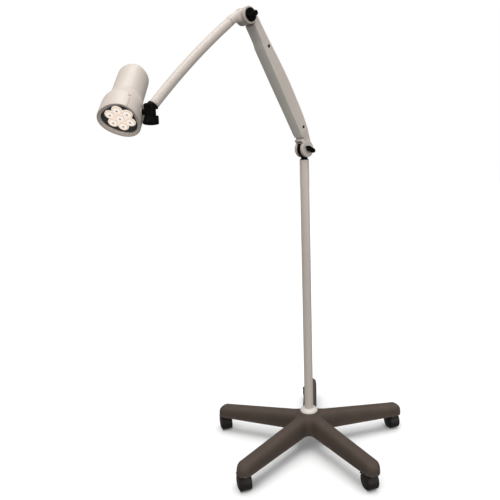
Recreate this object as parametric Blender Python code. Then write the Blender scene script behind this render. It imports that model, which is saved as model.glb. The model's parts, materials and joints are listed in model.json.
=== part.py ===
"""A mobile surgical examination light. A small LED head hangs from a clamped two-part arm, which turns on
top of a pole that stands on a five-legged base with twin-wheel castors. Metres, +Z up, floor at z = 0.
The origin is on the floor, under the middle of the whole light."""

import math

import bmesh
import bpy
from mathutils import Matrix, Vector

# Where the pole stands, so that the light's own box is centred on the origin
POLE_X = 0.0716
POLE_Y = 0.0298

# Base and pole
LEGS = 5
FIRST_LEG = math.radians(-1.3 + 18)
LEG_REACH = 0.320
LEG_HALF_WIDTH = 0.0229
LEG_BOTTOM = 0.0547
LEG_TIP_TOP = 0.0916
TIP_FALL = 0.20
HUB_TOP = 0.1142
HUB_RADIUS = 0.0520
LEG_WALL = 0.0040
POLE_RADIUS = 0.0136
POLE_WALL = 0.0020
POLE_TOP = 0.9019
POLE_FOOT = 0.0700

# Castors
WHEEL_RADIUS = 0.0245
WHEEL_WIDTH = 0.0115
WHEEL_INSIDE = 0.0068
CASTOR_TRAIL = 0.0140
CASTOR_AXIS = LEG_REACH - LEG_HALF_WIDTH
CASTOR_HEADING = math.radians(112)
STEM_RADIUS = 0.0050

# Arm: its upright plane is turned from the X axis, and both parts lie behind their pivots
ARM_PLANE = math.radians(226)
ARM_TILT = math.radians(58.3)
TILT_HEIGHT = 0.9330
ARM_LENGTH = 0.3860
FORK_RADIUS = 0.0236
FORK_GAP = 0.0154
FORK_WIDTH = 0.0300
ELBOW_RADIUS = 0.0208
ELBOW_GAP = 0.0230
ELBOW_WIDTH = 0.0370
ELBOW_BEND = math.radians(99.8)
TUBE_RADIUS = 0.01125
TUBE_WALL = 0.0018
TUBE_RISE = 0.0198
TUBE_CREST = 0.1500
TUBE_BOW = 2.020
TUBE_START = 0.0560
TUBE_END = 0.3592
CLEAR = 0.0003

# Head: where its joint is on the forearm's own plane, and how the lamp points
JOINT_REACH = 0.4875
JOINT_HEIGHT = 1.0144
HEAD_TURN = math.radians(177.4)
HEAD_TILT = math.radians(45.6)
HEAD_OFFSET = 0.0625
HEAD_LENGTH = 0.1650
AXIS_STATION = 0.0224
BELL_RADIUS = 0.0466
BELL_LENGTH = 0.0700
BODY_RADIUS = 0.0360
RIM_WAVE = 0.0022
BODY_WAVE = 0.0012
MOUTH_RADIUS = 0.0385
MOUTH_WAVE = 0.0025
RIM_START = -0.0050
MOUTH_EDGE = -0.0025
SHELL = 0.0025
LENS_FRONT = 0.0008
LED_RING = 0.0218
LED_RADIUS = 0.0114


def material(name, color, roughness, metallic=0.0):
    made = bpy.data.materials.new(name)
    made.use_nodes = True
    shader = made.node_tree.nodes["Principled BSDF"]
    shader.inputs["Base Color"].default_value = (*color, 1.0)
    shader.inputs["Roughness"].default_value = roughness
    shader.inputs["Metallic"].default_value = metallic
    return made


def empty(name, parent=None, location=(0, 0, 0), rotation=(0, 0, 0)):
    pivot = bpy.data.objects.new(name, None)
    pivot.location = location
    pivot.rotation_euler = rotation
    pivot.parent = parent
    bpy.context.scene.collection.objects.link(pivot)
    return pivot


def add(name, mesh, finish, parent, location=(0, 0, 0), rotation=(0, 0, 0)):
    """An object that shows, shaded smooth except over sharp edges."""
    mesh.shade_smooth()
    mesh.set_sharp_from_angle(angle=math.radians(35))
    obj = bpy.data.objects.new(name, mesh)
    obj.location = location
    obj.rotation_euler = rotation
    obj.parent = parent
    obj.data.materials.append(finish)
    bpy.context.scene.collection.objects.link(obj)
    return obj


def helper(name, mesh, parent, location=(0, 0, 0), rotation=(0, 0, 0)):
    """An object that only shapes another one."""
    obj = bpy.data.objects.new(name, mesh)
    obj.location = location
    obj.rotation_euler = rotation
    obj.parent = parent
    obj.hide_render = True
    obj.display_type = "WIRE"
    bpy.context.scene.collection.objects.link(obj)
    return obj


def combine(target, other, operation):
    modifier = target.modifiers.new(other.name, "BOOLEAN")
    modifier.operation = operation
    modifier.object = other
    modifier.solver = "EXACT"


def finish_mesh(bm, name):
    bmesh.ops.recalc_face_normals(bm, faces=bm.faces)
    mesh = bpy.data.meshes.new(name)
    bm.to_mesh(mesh)
    bm.free()
    return mesh


def lofted(name, rings, closed=False):
    """A skin through rings of points. Its ends are capped, or joined to each other when closed is set."""
    bm = bmesh.new()
    loops = [[bm.verts.new(point) for point in ring] for ring in rings]
    pairs = list(zip(loops, loops[1:]))
    if closed:
        pairs.append((loops[-1], loops[0]))
    else:
        bm.faces.new(loops[0])
        bm.faces.new(loops[-1])
    for first, second in pairs:
        for i in range(len(first)):
            j = (i + 1) % len(first)
            bm.faces.new((first[i], first[j], second[j], second[i]))
    return finish_mesh(bm, name)


def circle(radius, z, count, start=0.0):
    turns = [start + 2 * math.pi * i / count for i in range(count)]
    return [Vector((radius * math.cos(turn), radius * math.sin(turn), z)) for turn in turns]


def turned(name, profile, count):
    """A solid of revolution about Z from (radius, z) pairs, with flat ends."""
    return lofted(name, [circle(radius, z, count) for radius, z in profile])


def turned_ring(name, profile, count):
    """A ring about Z whose section is the closed outline of (radius, z) pairs."""
    rings = []
    for i in range(count):
        turn = 2 * math.pi * i / count
        rings.append([Vector((r * math.cos(turn), r * math.sin(turn), z)) for r, z in profile])
    return lofted(name, rings, closed=True)


def box(name, low, high):
    bm = bmesh.new()
    size = [high[i] - low[i] for i in range(3)]
    middle = [(high[i] + low[i]) / 2 for i in range(3)]
    frame = Matrix.Translation(middle) @ Matrix.Diagonal((*size, 1))
    bmesh.ops.create_cube(bm, size=1, matrix=frame)
    return finish_mesh(bm, name)


def extruded(name, outline, low, high):
    """A prism between two heights along Y, from an outline of (x, z) pairs."""
    return lofted(name, [[Vector((x, y, z)) for x, z in outline] for y in (low, high)])


def arc(radius, start, end, steps, middle=(0.0, 0.0)):
    """Points along an arc, angles in degrees."""
    points = []
    for i in range(steps + 1):
        turn = math.radians(start + (end - start) * i / steps)
        points.append((middle[0] + radius * math.cos(turn), middle[1] + radius * math.sin(turn)))
    return points


def smooth_step(low, high, value):
    """0 below low, 1 above high, and an even curve between."""
    t = min(1.0, max(0.0, (value - low) / (high - low)))
    return t * t * (3 - 2 * t)


def along_y(radius, low, high, name, count=28):
    """A cylinder about Y, with its edges broken by a small chamfer."""
    edge = min(0.0012, (high - low) / 4)
    profile = [(radius - edge, low), (radius, low + edge), (radius, high - edge), (radius - edge, high)]
    mesh = turned(name, profile, count)
    mesh.transform(Matrix.Rotation(math.radians(-90), 4, "X"))
    return mesh


# ---------------------------------------------------------------- base and pole


def leg_section(distance, half_width, top, bottom=LEG_BOTTOM, sides=8):
    """An arch across a leg: upright sides that round over into its top."""
    points = []
    for i in range(sides + 1):
        turn = math.pi * i / sides
        across = math.copysign(abs(math.cos(turn)) ** 0.55, math.cos(turn))
        rise = math.sin(turn) ** 0.55 if 0 < i < sides else 0.0
        points.append(Vector((distance, half_width * across, bottom + (top - bottom) * rise)))
    return points


def leg_mesh(name, inset=0.0, bottom=LEG_BOTTOM):
    """One leg along +X, with a round tip. An inset leg is the hollow inside it."""
    reach = LEG_REACH - inset
    half = LEG_HALF_WIDTH - inset
    middle = reach - half
    rings = []
    start = 0.0 if inset == 0 else HUB_RADIUS
    stop = middle if inset == 0 else middle - 2 * LEG_HALF_WIDTH
    for step in range(5):
        distance = start + (stop - start) * step / 4
        slope = (LEG_TIP_TOP - HUB_TOP + 0.002) * distance / LEG_REACH
        rings.append(leg_section(distance, half, HUB_TOP - 0.002 + slope - inset, bottom))
    if inset:
        return lofted(name, rings)
    for turn in (25, 45, 62, 76, 86):
        angle = math.radians(turn)
        top = LEG_TIP_TOP - (LEG_TIP_TOP - LEG_BOTTOM) * TIP_FALL * (1 - math.cos(angle))
        rings.append(leg_section(middle + half * math.sin(angle), half * math.cos(angle), top))
    return lofted(name, rings)


def build_base(pole, plastic, light, iron, steel, black):
    """The star, the collar round the pole's foot, the pole and what holds them together."""
    rim = 0.008
    hub = [
        (HUB_RADIUS - 0.002, LEG_BOTTOM),
        (HUB_RADIUS, LEG_BOTTOM + 0.002),
        (HUB_RADIUS, HUB_TOP - 2.2 * rim),
        (HUB_RADIUS - 0.4 * rim, HUB_TOP - rim),
        (HUB_RADIUS - 1.5 * rim, HUB_TOP - 0.25 * rim),
        (HUB_RADIUS - 2.6 * rim, HUB_TOP),
    ]
    star = add("base_star", turned("base_star", hub, 40), plastic, pole)
    legs = leg_mesh("leg")
    hollow = leg_mesh("leg_hollow", LEG_WALL, LEG_BOTTOM - 0.001)
    round_lip = LEG_HALF_WIDTH * 0.86
    lip = turned("leg_lip", [(round_lip, LEG_BOTTOM - 0.0016), (round_lip, LEG_BOTTOM + 0.01)], 24)
    hole = STEM_RADIUS + CLEAR
    bore = turned("stem_bore", [(hole, LEG_BOTTOM - 0.01), (hole, LEG_BOTTOM + 0.026)], 12)
    for index in range(LEGS):
        turn = FIRST_LEG + 2 * math.pi * index / LEGS
        tip = (CASTOR_AXIS * math.cos(turn), CASTOR_AXIS * math.sin(turn), 0)
        combine(star, helper(f"leg_{index}", legs, pole, rotation=(0, 0, turn)), "UNION")
        combine(star, helper(f"lip_{index}", lip, pole, tip), "UNION")
        combine(star, helper(f"hollow_{index}", hollow, pole, rotation=(0, 0, turn)), "DIFFERENCE")
        combine(star, helper(f"stem_bore_{index}", bore, pole, tip), "DIFFERENCE")
    well = [
        (0.0400, LEG_BOTTOM - 0.001),
        (0.0400, 0.0690),
        (POLE_RADIUS + CLEAR, 0.0690),
        (POLE_RADIUS + CLEAR, HUB_TOP + 0.01),
    ]
    combine(star, helper("hub_well", turned("hub_well", well, 32), pole), "DIFFERENCE")

    ballast = [
        (0.0062, LEG_BOTTOM + 0.0015),
        (0.0385, LEG_BOTTOM + 0.0015),
        (0.0395, 0.0570),
        (0.0395, 0.0675),
        (0.0385, 0.0687),
        (0.0062, 0.0687),
    ]
    add("ballast_plate", turned_ring("ballast_plate", ballast, 28), iron, pole)
    bolt = [
        (0.0100, 0.0495),
        (0.0105, 0.0505),
        (0.0105, 0.0558),
        (0.0059, 0.0559),
        (0.0059, 0.0980),
        (0.0050, 0.0990),
    ]
    add("pole_bolt", turned("pole_bolt", bolt, 18), steel, pole)
    plug = [
        (0.0063, POLE_FOOT + CLEAR),
        (POLE_RADIUS - POLE_WALL - CLEAR, POLE_FOOT + CLEAR),
        (POLE_RADIUS - POLE_WALL - CLEAR, 0.1040),
        (0.0063, 0.1040),
    ]
    add("pole_plug", turned_ring("pole_plug", plug, 20), steel, pole)
    inner = POLE_RADIUS - POLE_WALL
    tube = [
        (inner, POLE_FOOT),
        (POLE_RADIUS, POLE_FOOT),
        (POLE_RADIUS, POLE_TOP - 0.0006),
        (POLE_RADIUS - 0.0006, POLE_TOP),
        (inner, POLE_TOP),
    ]
    tube_obj = add("pole_tube", turned_ring("pole_tube", tube, 32), light, pole)

    collar = [
        (POLE_RADIUS + CLEAR, HUB_TOP + CLEAR),
        (0.0268, HUB_TOP + CLEAR),
        (0.0275, HUB_TOP + 0.0020),
        (0.0268, HUB_TOP + 0.0050),
        (0.0240, HUB_TOP + 0.0085),
        (0.0195, HUB_TOP + 0.0112),
        (0.0160, HUB_TOP + 0.0122),
        (POLE_RADIUS + CLEAR, HUB_TOP + 0.0122),
    ]
    add("base_collar", turned_ring("base_collar", collar, 36), light, pole)

    build_pole_fittings(pole, tube_obj, steel, black)


def build_pole_fittings(pole, tube_obj, steel, black):
    """The bush in the pole's mouth, the screw in its side, and the cable inlet at its back."""
    inner = POLE_RADIUS - POLE_WALL - CLEAR
    spigot = 0.0080 + CLEAR
    bush = [
        (spigot, POLE_TOP - 0.045),
        (inner, POLE_TOP - 0.045),
        (inner, POLE_TOP + CLEAR),
        (0.0128, POLE_TOP + CLEAR),
        (0.0128, POLE_TOP + 0.0018),
        (0.0120, POLE_TOP + 0.0026),
        (spigot, POLE_TOP + 0.0026),
    ]
    add("pole_top_bush", turned_ring("pole_top_bush", bush, 24), black, pole)

    height = 0.6000
    side = math.radians(-20)
    facing = (0, math.radians(90), side)
    place = Vector((math.cos(side), math.sin(side), 0))
    hole = turned("screw_hole", [(0.0024, -0.004), (0.0024, 0.004)], 12)
    seat = place * POLE_RADIUS + Vector((0, 0, height))
    combine(tube_obj, helper("screw_hole", hole, pole, seat, facing), "DIFFERENCE")
    screw = [(0.0020, -0.0050), (0.0020, 0.0006), (0.0014, 0.0010)]
    spot = place * (POLE_RADIUS - 0.0004) + Vector((0, 0, height))
    add("pole_grub_screw", turned("pole_grub_screw", screw, 12), steel, pole, spot, facing)

    height = 0.1750
    side = math.radians(90)
    facing = (0, math.radians(90), side)
    place = Vector((math.cos(side), math.sin(side), 0))
    hole = turned("inlet_hole", [(0.0053, -0.006), (0.0053, 0.006)], 16)
    seat = place * POLE_RADIUS + Vector((0, 0, height))
    combine(tube_obj, helper("inlet_hole", hole, pole, seat, facing), "DIFFERENCE")
    inlet = [
        (0.0029, -0.0050),
        (0.0050, -0.0050),
        (0.0050, POLE_RADIUS * 0.08),
        (0.0074, POLE_RADIUS * 0.08 + CLEAR),
        (0.0074, 0.0050),
        (0.0056, 0.0065),
        (0.0042, 0.0150),
        (0.0029, 0.0150),
    ]
    spot = place * POLE_RADIUS + Vector((0, 0, height))
    add("power_inlet", turned_ring("power_inlet", inlet, 18), black, pole, spot, facing)


# ---------------------------------------------------------------- castors


def wheel_mesh():
    """A twin-wheel castor's wheel about Y: a crowned tread, a dished outside and an axle bore."""
    r, w = WHEEL_RADIUS, WHEEL_WIDTH
    profile = [
        (0.0034, 0.0),
        (r - 0.0015, 0.0),
        (r, 0.0015),
        (r, w * 0.60),
        (r - 0.0045, w),
        (0.0034, w - 0.0020),
    ]
    mesh = turned_ring("castor_wheel", profile, 20)
    mesh.transform(Matrix.Rotation(math.radians(-90), 4, "X"))
    return mesh


def hood_parts():
    """The castor's hood: a web between the wheels, an arched cover over them and a boss round the stem."""
    half = WHEEL_INSIDE - CLEAR
    web = arc(WHEEL_RADIUS - 0.0030, -70, 232, 12, (0.0, WHEEL_RADIUS))
    cover_outer = arc(WHEEL_RADIUS + 0.0026, 20, 232, 14, (0.0, WHEEL_RADIUS))
    cover_inner = arc(WHEEL_RADIUS + 0.0009, 232, 20, 14, (0.0, WHEEL_RADIUS))
    top = LEG_BOTTOM - 0.0016 - CLEAR
    boss = [(0.0125, 0.0498), (0.0125, top - 0.0006), (0.0119, top)]
    reach = WHEEL_INSIDE + WHEEL_WIDTH * 0.86
    neck = [(-0.008, 0.034), (0.012, 0.030), (0.012, 0.051), (-0.008, 0.051)]
    return (
        extruded("hood_web", web, -half, half),
        extruded("hood_cover", cover_outer + cover_inner, -reach, reach),
        turned("hood_boss", boss, 14),
        extruded("hood_neck", neck, -half, half),
    )


def build_castor(pole, index, meshes, dark, steel):
    """One swivelling castor: its hood turns about the stem, and both wheels turn about the axle."""
    wheel, web, cover, boss, neck, spindle, bore, stem = meshes
    turn = FIRST_LEG + 2 * math.pi * index / LEGS
    name = f"castor_{index + 1}"
    tip = (CASTOR_AXIS * math.cos(turn), CASTOR_AXIS * math.sin(turn), 0)
    swivel = empty(f"{name}_swivel", pole, tip, (0, 0, CASTOR_HEADING))
    axle = empty(f"{name}_axle", swivel, (CASTOR_TRAIL, 0, WHEEL_RADIUS))
    hood = add(f"{name}_hood", web.copy(), dark, swivel, (CASTOR_TRAIL, 0, 0))
    combine(hood, helper(f"{name}_cover", cover, swivel, (CASTOR_TRAIL, 0, 0)), "UNION")
    combine(hood, helper(f"{name}_boss", boss, swivel), "UNION")
    combine(hood, helper(f"{name}_neck", neck, swivel), "UNION")
    combine(hood, helper(f"{name}_spindle", spindle, axle), "UNION")
    combine(hood, helper(f"{name}_bore", bore, swivel), "DIFFERENCE")
    add(f"{name}_stem", stem.copy(), steel, swivel)
    add(f"{name}_wheel_left", wheel.copy(), dark, axle, (0, WHEEL_INSIDE, 0))
    add(f"{name}_wheel_right", wheel.copy(), dark, axle, (0, -WHEEL_INSIDE, 0), (0, 0, math.pi))


def build_castors(pole, dark, steel):
    web, cover, boss, neck = hood_parts()
    end = WHEEL_INSIDE + WHEEL_WIDTH - 0.003
    spindle = along_y(0.0031, -end, end, "spindle", 10)
    bore = turned("hood_bore", [(STEM_RADIUS + CLEAR, 0.0365), (STEM_RADIUS + CLEAR, 0.0700)], 12)
    top = LEG_BOTTOM + 0.0240
    stem = [
        (STEM_RADIUS - 0.0006, 0.0370),
        (STEM_RADIUS, 0.0376),
        (STEM_RADIUS, top - 0.0010),
        (STEM_RADIUS - 0.0010, top),
    ]
    stem_mesh = turned("castor_stem", stem, 12)
    meshes = (wheel_mesh(), web, cover, boss, neck, spindle, bore, stem_mesh)
    for index in range(LEGS):
        build_castor(pole, index, meshes, dark, steel)


# ---------------------------------------------------------------- lower arm


def arm_under(s):
    """How far the arm's grey underside lies behind the line between its pivots."""
    return 0.0030 * smooth_step(0.302, 0.318, s) - 0.0020


def arm_back(s):
    """How far its back lies behind that line."""
    left = 1 - min(s / 0.12, 1.0)
    return 0.0390 - 0.0150 * left**2 - 0.0135 * smooth_step(0.17, 0.40, s)


def arm_half_width(s):
    wide = FORK_WIDTH / 2 + 0.0023 * smooth_step(0.022, 0.052, s)
    return wide + (ELBOW_WIDTH / 2 - FORK_WIDTH / 2 - 0.0023) * smooth_step(0.10, 0.22, s)


def arm_section(s, low, high, half, edge):
    """A four-sided section across the arm, chamfered along its back."""
    return [
        Vector((s, -half, low)),
        Vector((s, half, low)),
        Vector((s, half, high - 1.2 * edge)),
        Vector((s, half - edge, high)),
        Vector((s, -half + edge, high)),
        Vector((s, -half, high - 1.2 * edge)),
    ]


def arm_stations(first, last):
    """Places along the arm, all from one row, so that neighbours follow each other exactly."""
    return [0.0012 + (ARM_LENGTH - 0.0052) * i / 20 for i in range(first, last + 1)]


def build_arm_shells(tilt, light, grey):
    """The painted channel with a fork at each end, and the grey cover that closes its underside."""
    skirt = 0.0035
    rings = [
        arm_section(s, arm_under(s) + skirt, arm_back(s), arm_half_width(s), 0.0045)
        for s in arm_stations(0, 20)
    ]
    housing = add("arm_housing", lofted("arm_housing", rings), light, tilt)

    heel = [(0.0, 0.0)] + arc(0.0335, -16, 20, 6)
    heel_half = FORK_WIDTH / 2 - CLEAR
    combine(housing, helper("fork_heel", extruded("fork_heel", heel, -heel_half, heel_half), tilt), "UNION")
    proud = 0.0004
    fork = along_y(FORK_RADIUS, -FORK_WIDTH / 2 - proud, FORK_WIDTH / 2 + proud, "fork_disc", 36)
    combine(housing, helper("fork_disc", fork, tilt), "UNION")
    elbow = along_y(ELBOW_RADIUS, -ELBOW_WIDTH / 2 - proud, ELBOW_WIDTH / 2 + proud, "elbow_disc", 36)
    combine(housing, helper("elbow_disc", elbow, tilt, (ARM_LENGTH, 0, 0)), "UNION")

    inside = [
        arm_section(s, arm_under(s) - 0.004, arm_back(s) - 0.0028, arm_half_width(s) - 0.0028, 0.0035)
        for s in arm_stations(3, 17)
    ]
    combine(housing, helper("arm_inside", lofted("arm_inside", inside), tilt), "DIFFERENCE")
    slot = extruded("fork_slot", arc(0.0275, 0, 350, 35), -FORK_GAP / 2, FORK_GAP / 2)
    combine(housing, helper("fork_slot", slot, tilt), "DIFFERENCE")
    notch = extruded("elbow_slot", arc(0.0245, 0, 350, 35), -ELBOW_GAP / 2, ELBOW_GAP / 2)
    combine(housing, helper("elbow_slot", notch, tilt, (ARM_LENGTH, 0, 0)), "DIFFERENCE")
    mouth = along_y(0.0041, -0.03, 0.03, "bolt_hole", 18)
    combine(housing, helper("fork_hole", mouth, tilt), "DIFFERENCE")
    combine(housing, helper("elbow_hole", mouth, tilt, (ARM_LENGTH, 0, 0)), "DIFFERENCE")

    cover_rings = [
        arm_section(s, arm_under(s), arm_under(s) + skirt - CLEAR, arm_half_width(s), 0.0004)
        for s in arm_stations(2, 19)
    ]
    cover = add("arm_cover", lofted("arm_cover", cover_rings), grey, tilt)
    room = extruded("cover_slot", arc(0.0270, 0, 350, 35), -ELBOW_GAP / 2, ELBOW_GAP / 2)
    combine(cover, helper("cover_slot", room, tilt, (ARM_LENGTH, 0, 0)), "DIFFERENCE")
    return housing


def build_arm_inside(tilt, housing, steel, black):
    """The two side screws and the stop pin in the fork."""
    hole = along_y(0.0044, -0.0040, 0.0100, "side_screw_hole", 16)
    screw = along_y(0.0040, -0.0040, 0.0002, "side_screw", 16)
    for name, s, behind in (("upper", 0.2980, 0.0165), ("lower", 0.0610, 0.0170)):
        face = arm_half_width(s)
        combine(housing, helper(f"screw_{name}_hole", hole, tilt, (s, face - 0.0030, behind)), "DIFFERENCE")
        add(f"arm_screw_{name}", screw.copy(), black, tilt, (s, face - 0.0018, behind))
    reach = FORK_GAP / 2 + 0.0030
    pin = along_y(0.0016, -reach, reach, "tilt_stop_pin", 12)
    spot = (0.0246 * math.cos(math.radians(-19)), 0, 0.0246 * math.sin(math.radians(-19)))
    add("tilt_stop_pin", pin, steel, tilt, spot)
    pin_hole = along_y(0.0016 + CLEAR, -reach - CLEAR, reach + CLEAR, "pin_hole", 12)
    combine(housing, helper("pin_hole", pin_hole, tilt, spot), "DIFFERENCE")


# ---------------------------------------------------------------- joints of the arm


def bar_outline(back, front, root, tip, steps=6):
    """A finger bar seen from its end: round at both ends, wider at its tip."""
    lean = math.degrees(math.asin((tip - root) / (back + front)))
    outline = arc(tip, -90 - lean, 90 + lean, steps, (front, 0.0))
    return outline + arc(root, 90 + lean, 270 - lean, steps, (-back, 0.0))


def knob(name, parent, finish, profile, bar, bar_range, turn):
    """A clamping knob about Y: a turned body, with a finger bar across its face."""
    body = turned(name, profile, 26)
    body.transform(Matrix.Rotation(math.radians(-90), 4, "X"))
    obj = add(name, body, finish, parent)
    grip = extruded(f"{name}_grip", bar, *bar_range)
    combine(obj, helper(f"{name}_grip", grip, parent, rotation=(0, turn, 0)), "UNION")
    return obj


def ring_about_y(inside, outside, low, high, name, count=24):
    profile = [(inside, low), (outside, low), (outside, high), (inside, high)]
    mesh = turned_ring(name, profile, count)
    mesh.transform(Matrix.Rotation(math.radians(-90), 4, "X"))
    return mesh


def pivot_bolt(name, parent, finish, far_face, end):
    """A bolt about Y whose domed head lies on the far cheek."""
    head = 0.0078
    profile = [
        (head * 0.55, far_face - 0.0045),
        (head * 0.90, far_face - 0.0034),
        (head, far_face - 0.0018),
        (head, far_face - CLEAR),
        (0.0038, far_face - CLEAR),
        (0.0038, end),
    ]
    mesh = turned(name, profile, 18)
    mesh.transform(Matrix.Rotation(math.radians(-90), 4, "X"))
    return add(name, mesh, finish, parent)


def build_lower_joint(swivel, tilt, black, steel, washer):
    """The black hub that turns in the pole's bush and stands in the arm's fork, with its clamp."""
    down = POLE_TOP - TILT_HEIGHT
    half = FORK_GAP / 2 - 0.0016
    spigot = [
        (0.0070, down - 0.0430),
        (0.0080, down - 0.0420),
        (0.0080, down + 0.0026 + CLEAR),
        (0.0112, down + 0.0026 + CLEAR),
        (0.0112, down + 0.0040),
        (0.0088, down + 0.0062),
    ]
    hub = add("swivel_hub", turned("swivel_hub", spigot, 24), black, swivel)
    sides = [(-0.0086, down + 0.0058), (0.0086, down + 0.0058), (0.0072, -0.010), (-0.0072, -0.010)]
    neck = extruded("hub_neck", sides, -half + 0.0002, half - 0.0002)
    combine(hub, helper("hub_neck", neck, swivel), "UNION")
    combine(hub, helper("hub_disc", along_y(0.0222, -half, half, "hub_disc", 30), swivel), "UNION")
    combine(hub, helper("hub_bore", along_y(0.0041, -0.02, 0.02, "hub_bore", 16), swivel), "DIFFERENCE")
    low, high = half + CLEAR, FORK_GAP / 2 - CLEAR
    add("lower_washer_near", ring_about_y(0.0043, 0.0160, low, high, "lower_washer_near"), washer, swivel)
    add("lower_washer_far", ring_about_y(0.0043, 0.0160, -high, -low, "lower_washer_far"), washer, swivel)
    face = FORK_WIDTH / 2 + 0.0004
    pivot_bolt("lower_pivot_bolt", tilt, steel, -face, 0.0092)
    profile = [
        (0.0036, 0.0096),
        (0.0036, face + CLEAR),
        (0.0062, face + CLEAR),
        (0.0058, face + 0.0040),
    ]
    bar = bar_outline(0.0105, 0.0105, 0.0038, 0.0062)
    knob("lower_knob", tilt, black, profile, bar, (face + 0.0035, face + 0.0165), math.radians(-150))


def build_elbow(tilt, elbow, black, steel, washer):
    half = ELBOW_GAP / 2 - 0.0016
    low, high = half + CLEAR, ELBOW_GAP / 2 - CLEAR
    add("elbow_washer_near", ring_about_y(0.0043, 0.0150, low, high, "elbow_washer_near"), washer, elbow)
    add("elbow_washer_far", ring_about_y(0.0043, 0.0150, -high, -low, "elbow_washer_far"), washer, elbow)
    face = ELBOW_WIDTH / 2 + 0.0004
    bolt_place = empty("elbow_bolt_place", tilt, (ARM_LENGTH, 0, 0))
    pivot_bolt("elbow_pivot_bolt", bolt_place, steel, -face, 0.0130)
    profile = [
        (0.0036, 0.0134),
        (0.0036, face + CLEAR),
        (0.0162, face + CLEAR),
        (0.0166, face + 0.0012),
        (0.0166, face + 0.0034),
        (0.0156, face + 0.0046),
    ]
    bar = bar_outline(0.0105, 0.0120, 0.0044, 0.0062)
    knob("elbow_knob", bolt_place, black, profile, bar, (face + 0.0030, face + 0.0110), math.radians(-95))
    return half


def tube_centre(x):
    """How high the forearm's tube runs above the line through its pivot."""
    return TUBE_RISE - (x - TUBE_CREST) ** 2 / (2 * TUBE_BOW)


def tube_ring(x, radius, count=18):
    """A circle square to the bowed tube."""
    lean = math.atan((x - TUBE_CREST) / TUBE_BOW)
    frame = Matrix.Translation((x, 0, tube_centre(x))) @ Matrix.Rotation(lean + math.pi / 2, 4, "Y")
    return [frame @ point for point in circle(radius, 0.0, count)]


def build_forearm(elbow, light, half):
    """The hub that flares out of the elbow, and the gently bowed tube."""
    hub = add("forearm_hub", along_y(0.0203, -half, half, "forearm_hub", 30), light, elbow)
    rings = []
    for step in range(8):
        x = (TUBE_START - 0.002) * step / 7
        blend = smooth_step(0.0, 0.045, x)
        middle = 0.0035 + (tube_centre(TUBE_START) - 0.0035) * blend
        tall = 0.0180 + (TUBE_RADIUS - 0.0180) * blend
        wide = half - 0.0002 + (TUBE_RADIUS - half + 0.0002) * smooth_step(0.020, 0.050, x)
        power = 0.55 + 0.45 * blend
        ring = []
        for i in range(20):
            turn = 2 * math.pi * i / 20
            across = math.copysign(abs(math.cos(turn)) ** power, math.cos(turn))
            rise = math.copysign(abs(math.sin(turn)) ** power, math.sin(turn))
            ring.append(Vector((x, wide * across, middle + tall * rise)))
        rings.append(ring)
    combine(hub, helper("forearm_flare", lofted("forearm_flare", rings), elbow), "UNION")
    inside = TUBE_RADIUS - TUBE_WALL
    spigot = [tube_ring(x, inside - CLEAR, 14) for x in (TUBE_START - 0.004, TUBE_START + 0.024)]
    combine(hub, helper("forearm_spigot", lofted("forearm_spigot", spigot), elbow), "UNION")
    bore = along_y(0.0041, -0.02, 0.02, "forearm_bore", 16)
    combine(hub, helper("forearm_bore", bore, elbow), "DIFFERENCE")

    start = TUBE_START - 0.002 + 0.0011
    places = [start + (TUBE_END - start) * i / 10 for i in range(11)]
    outside = [tube_ring(x, TUBE_RADIUS) for x in places]
    lining = [tube_ring(x, inside) for x in reversed(places)]
    add("forearm_tube", lofted("forearm_tube", outside + lining, closed=True), light, elbow)


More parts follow.
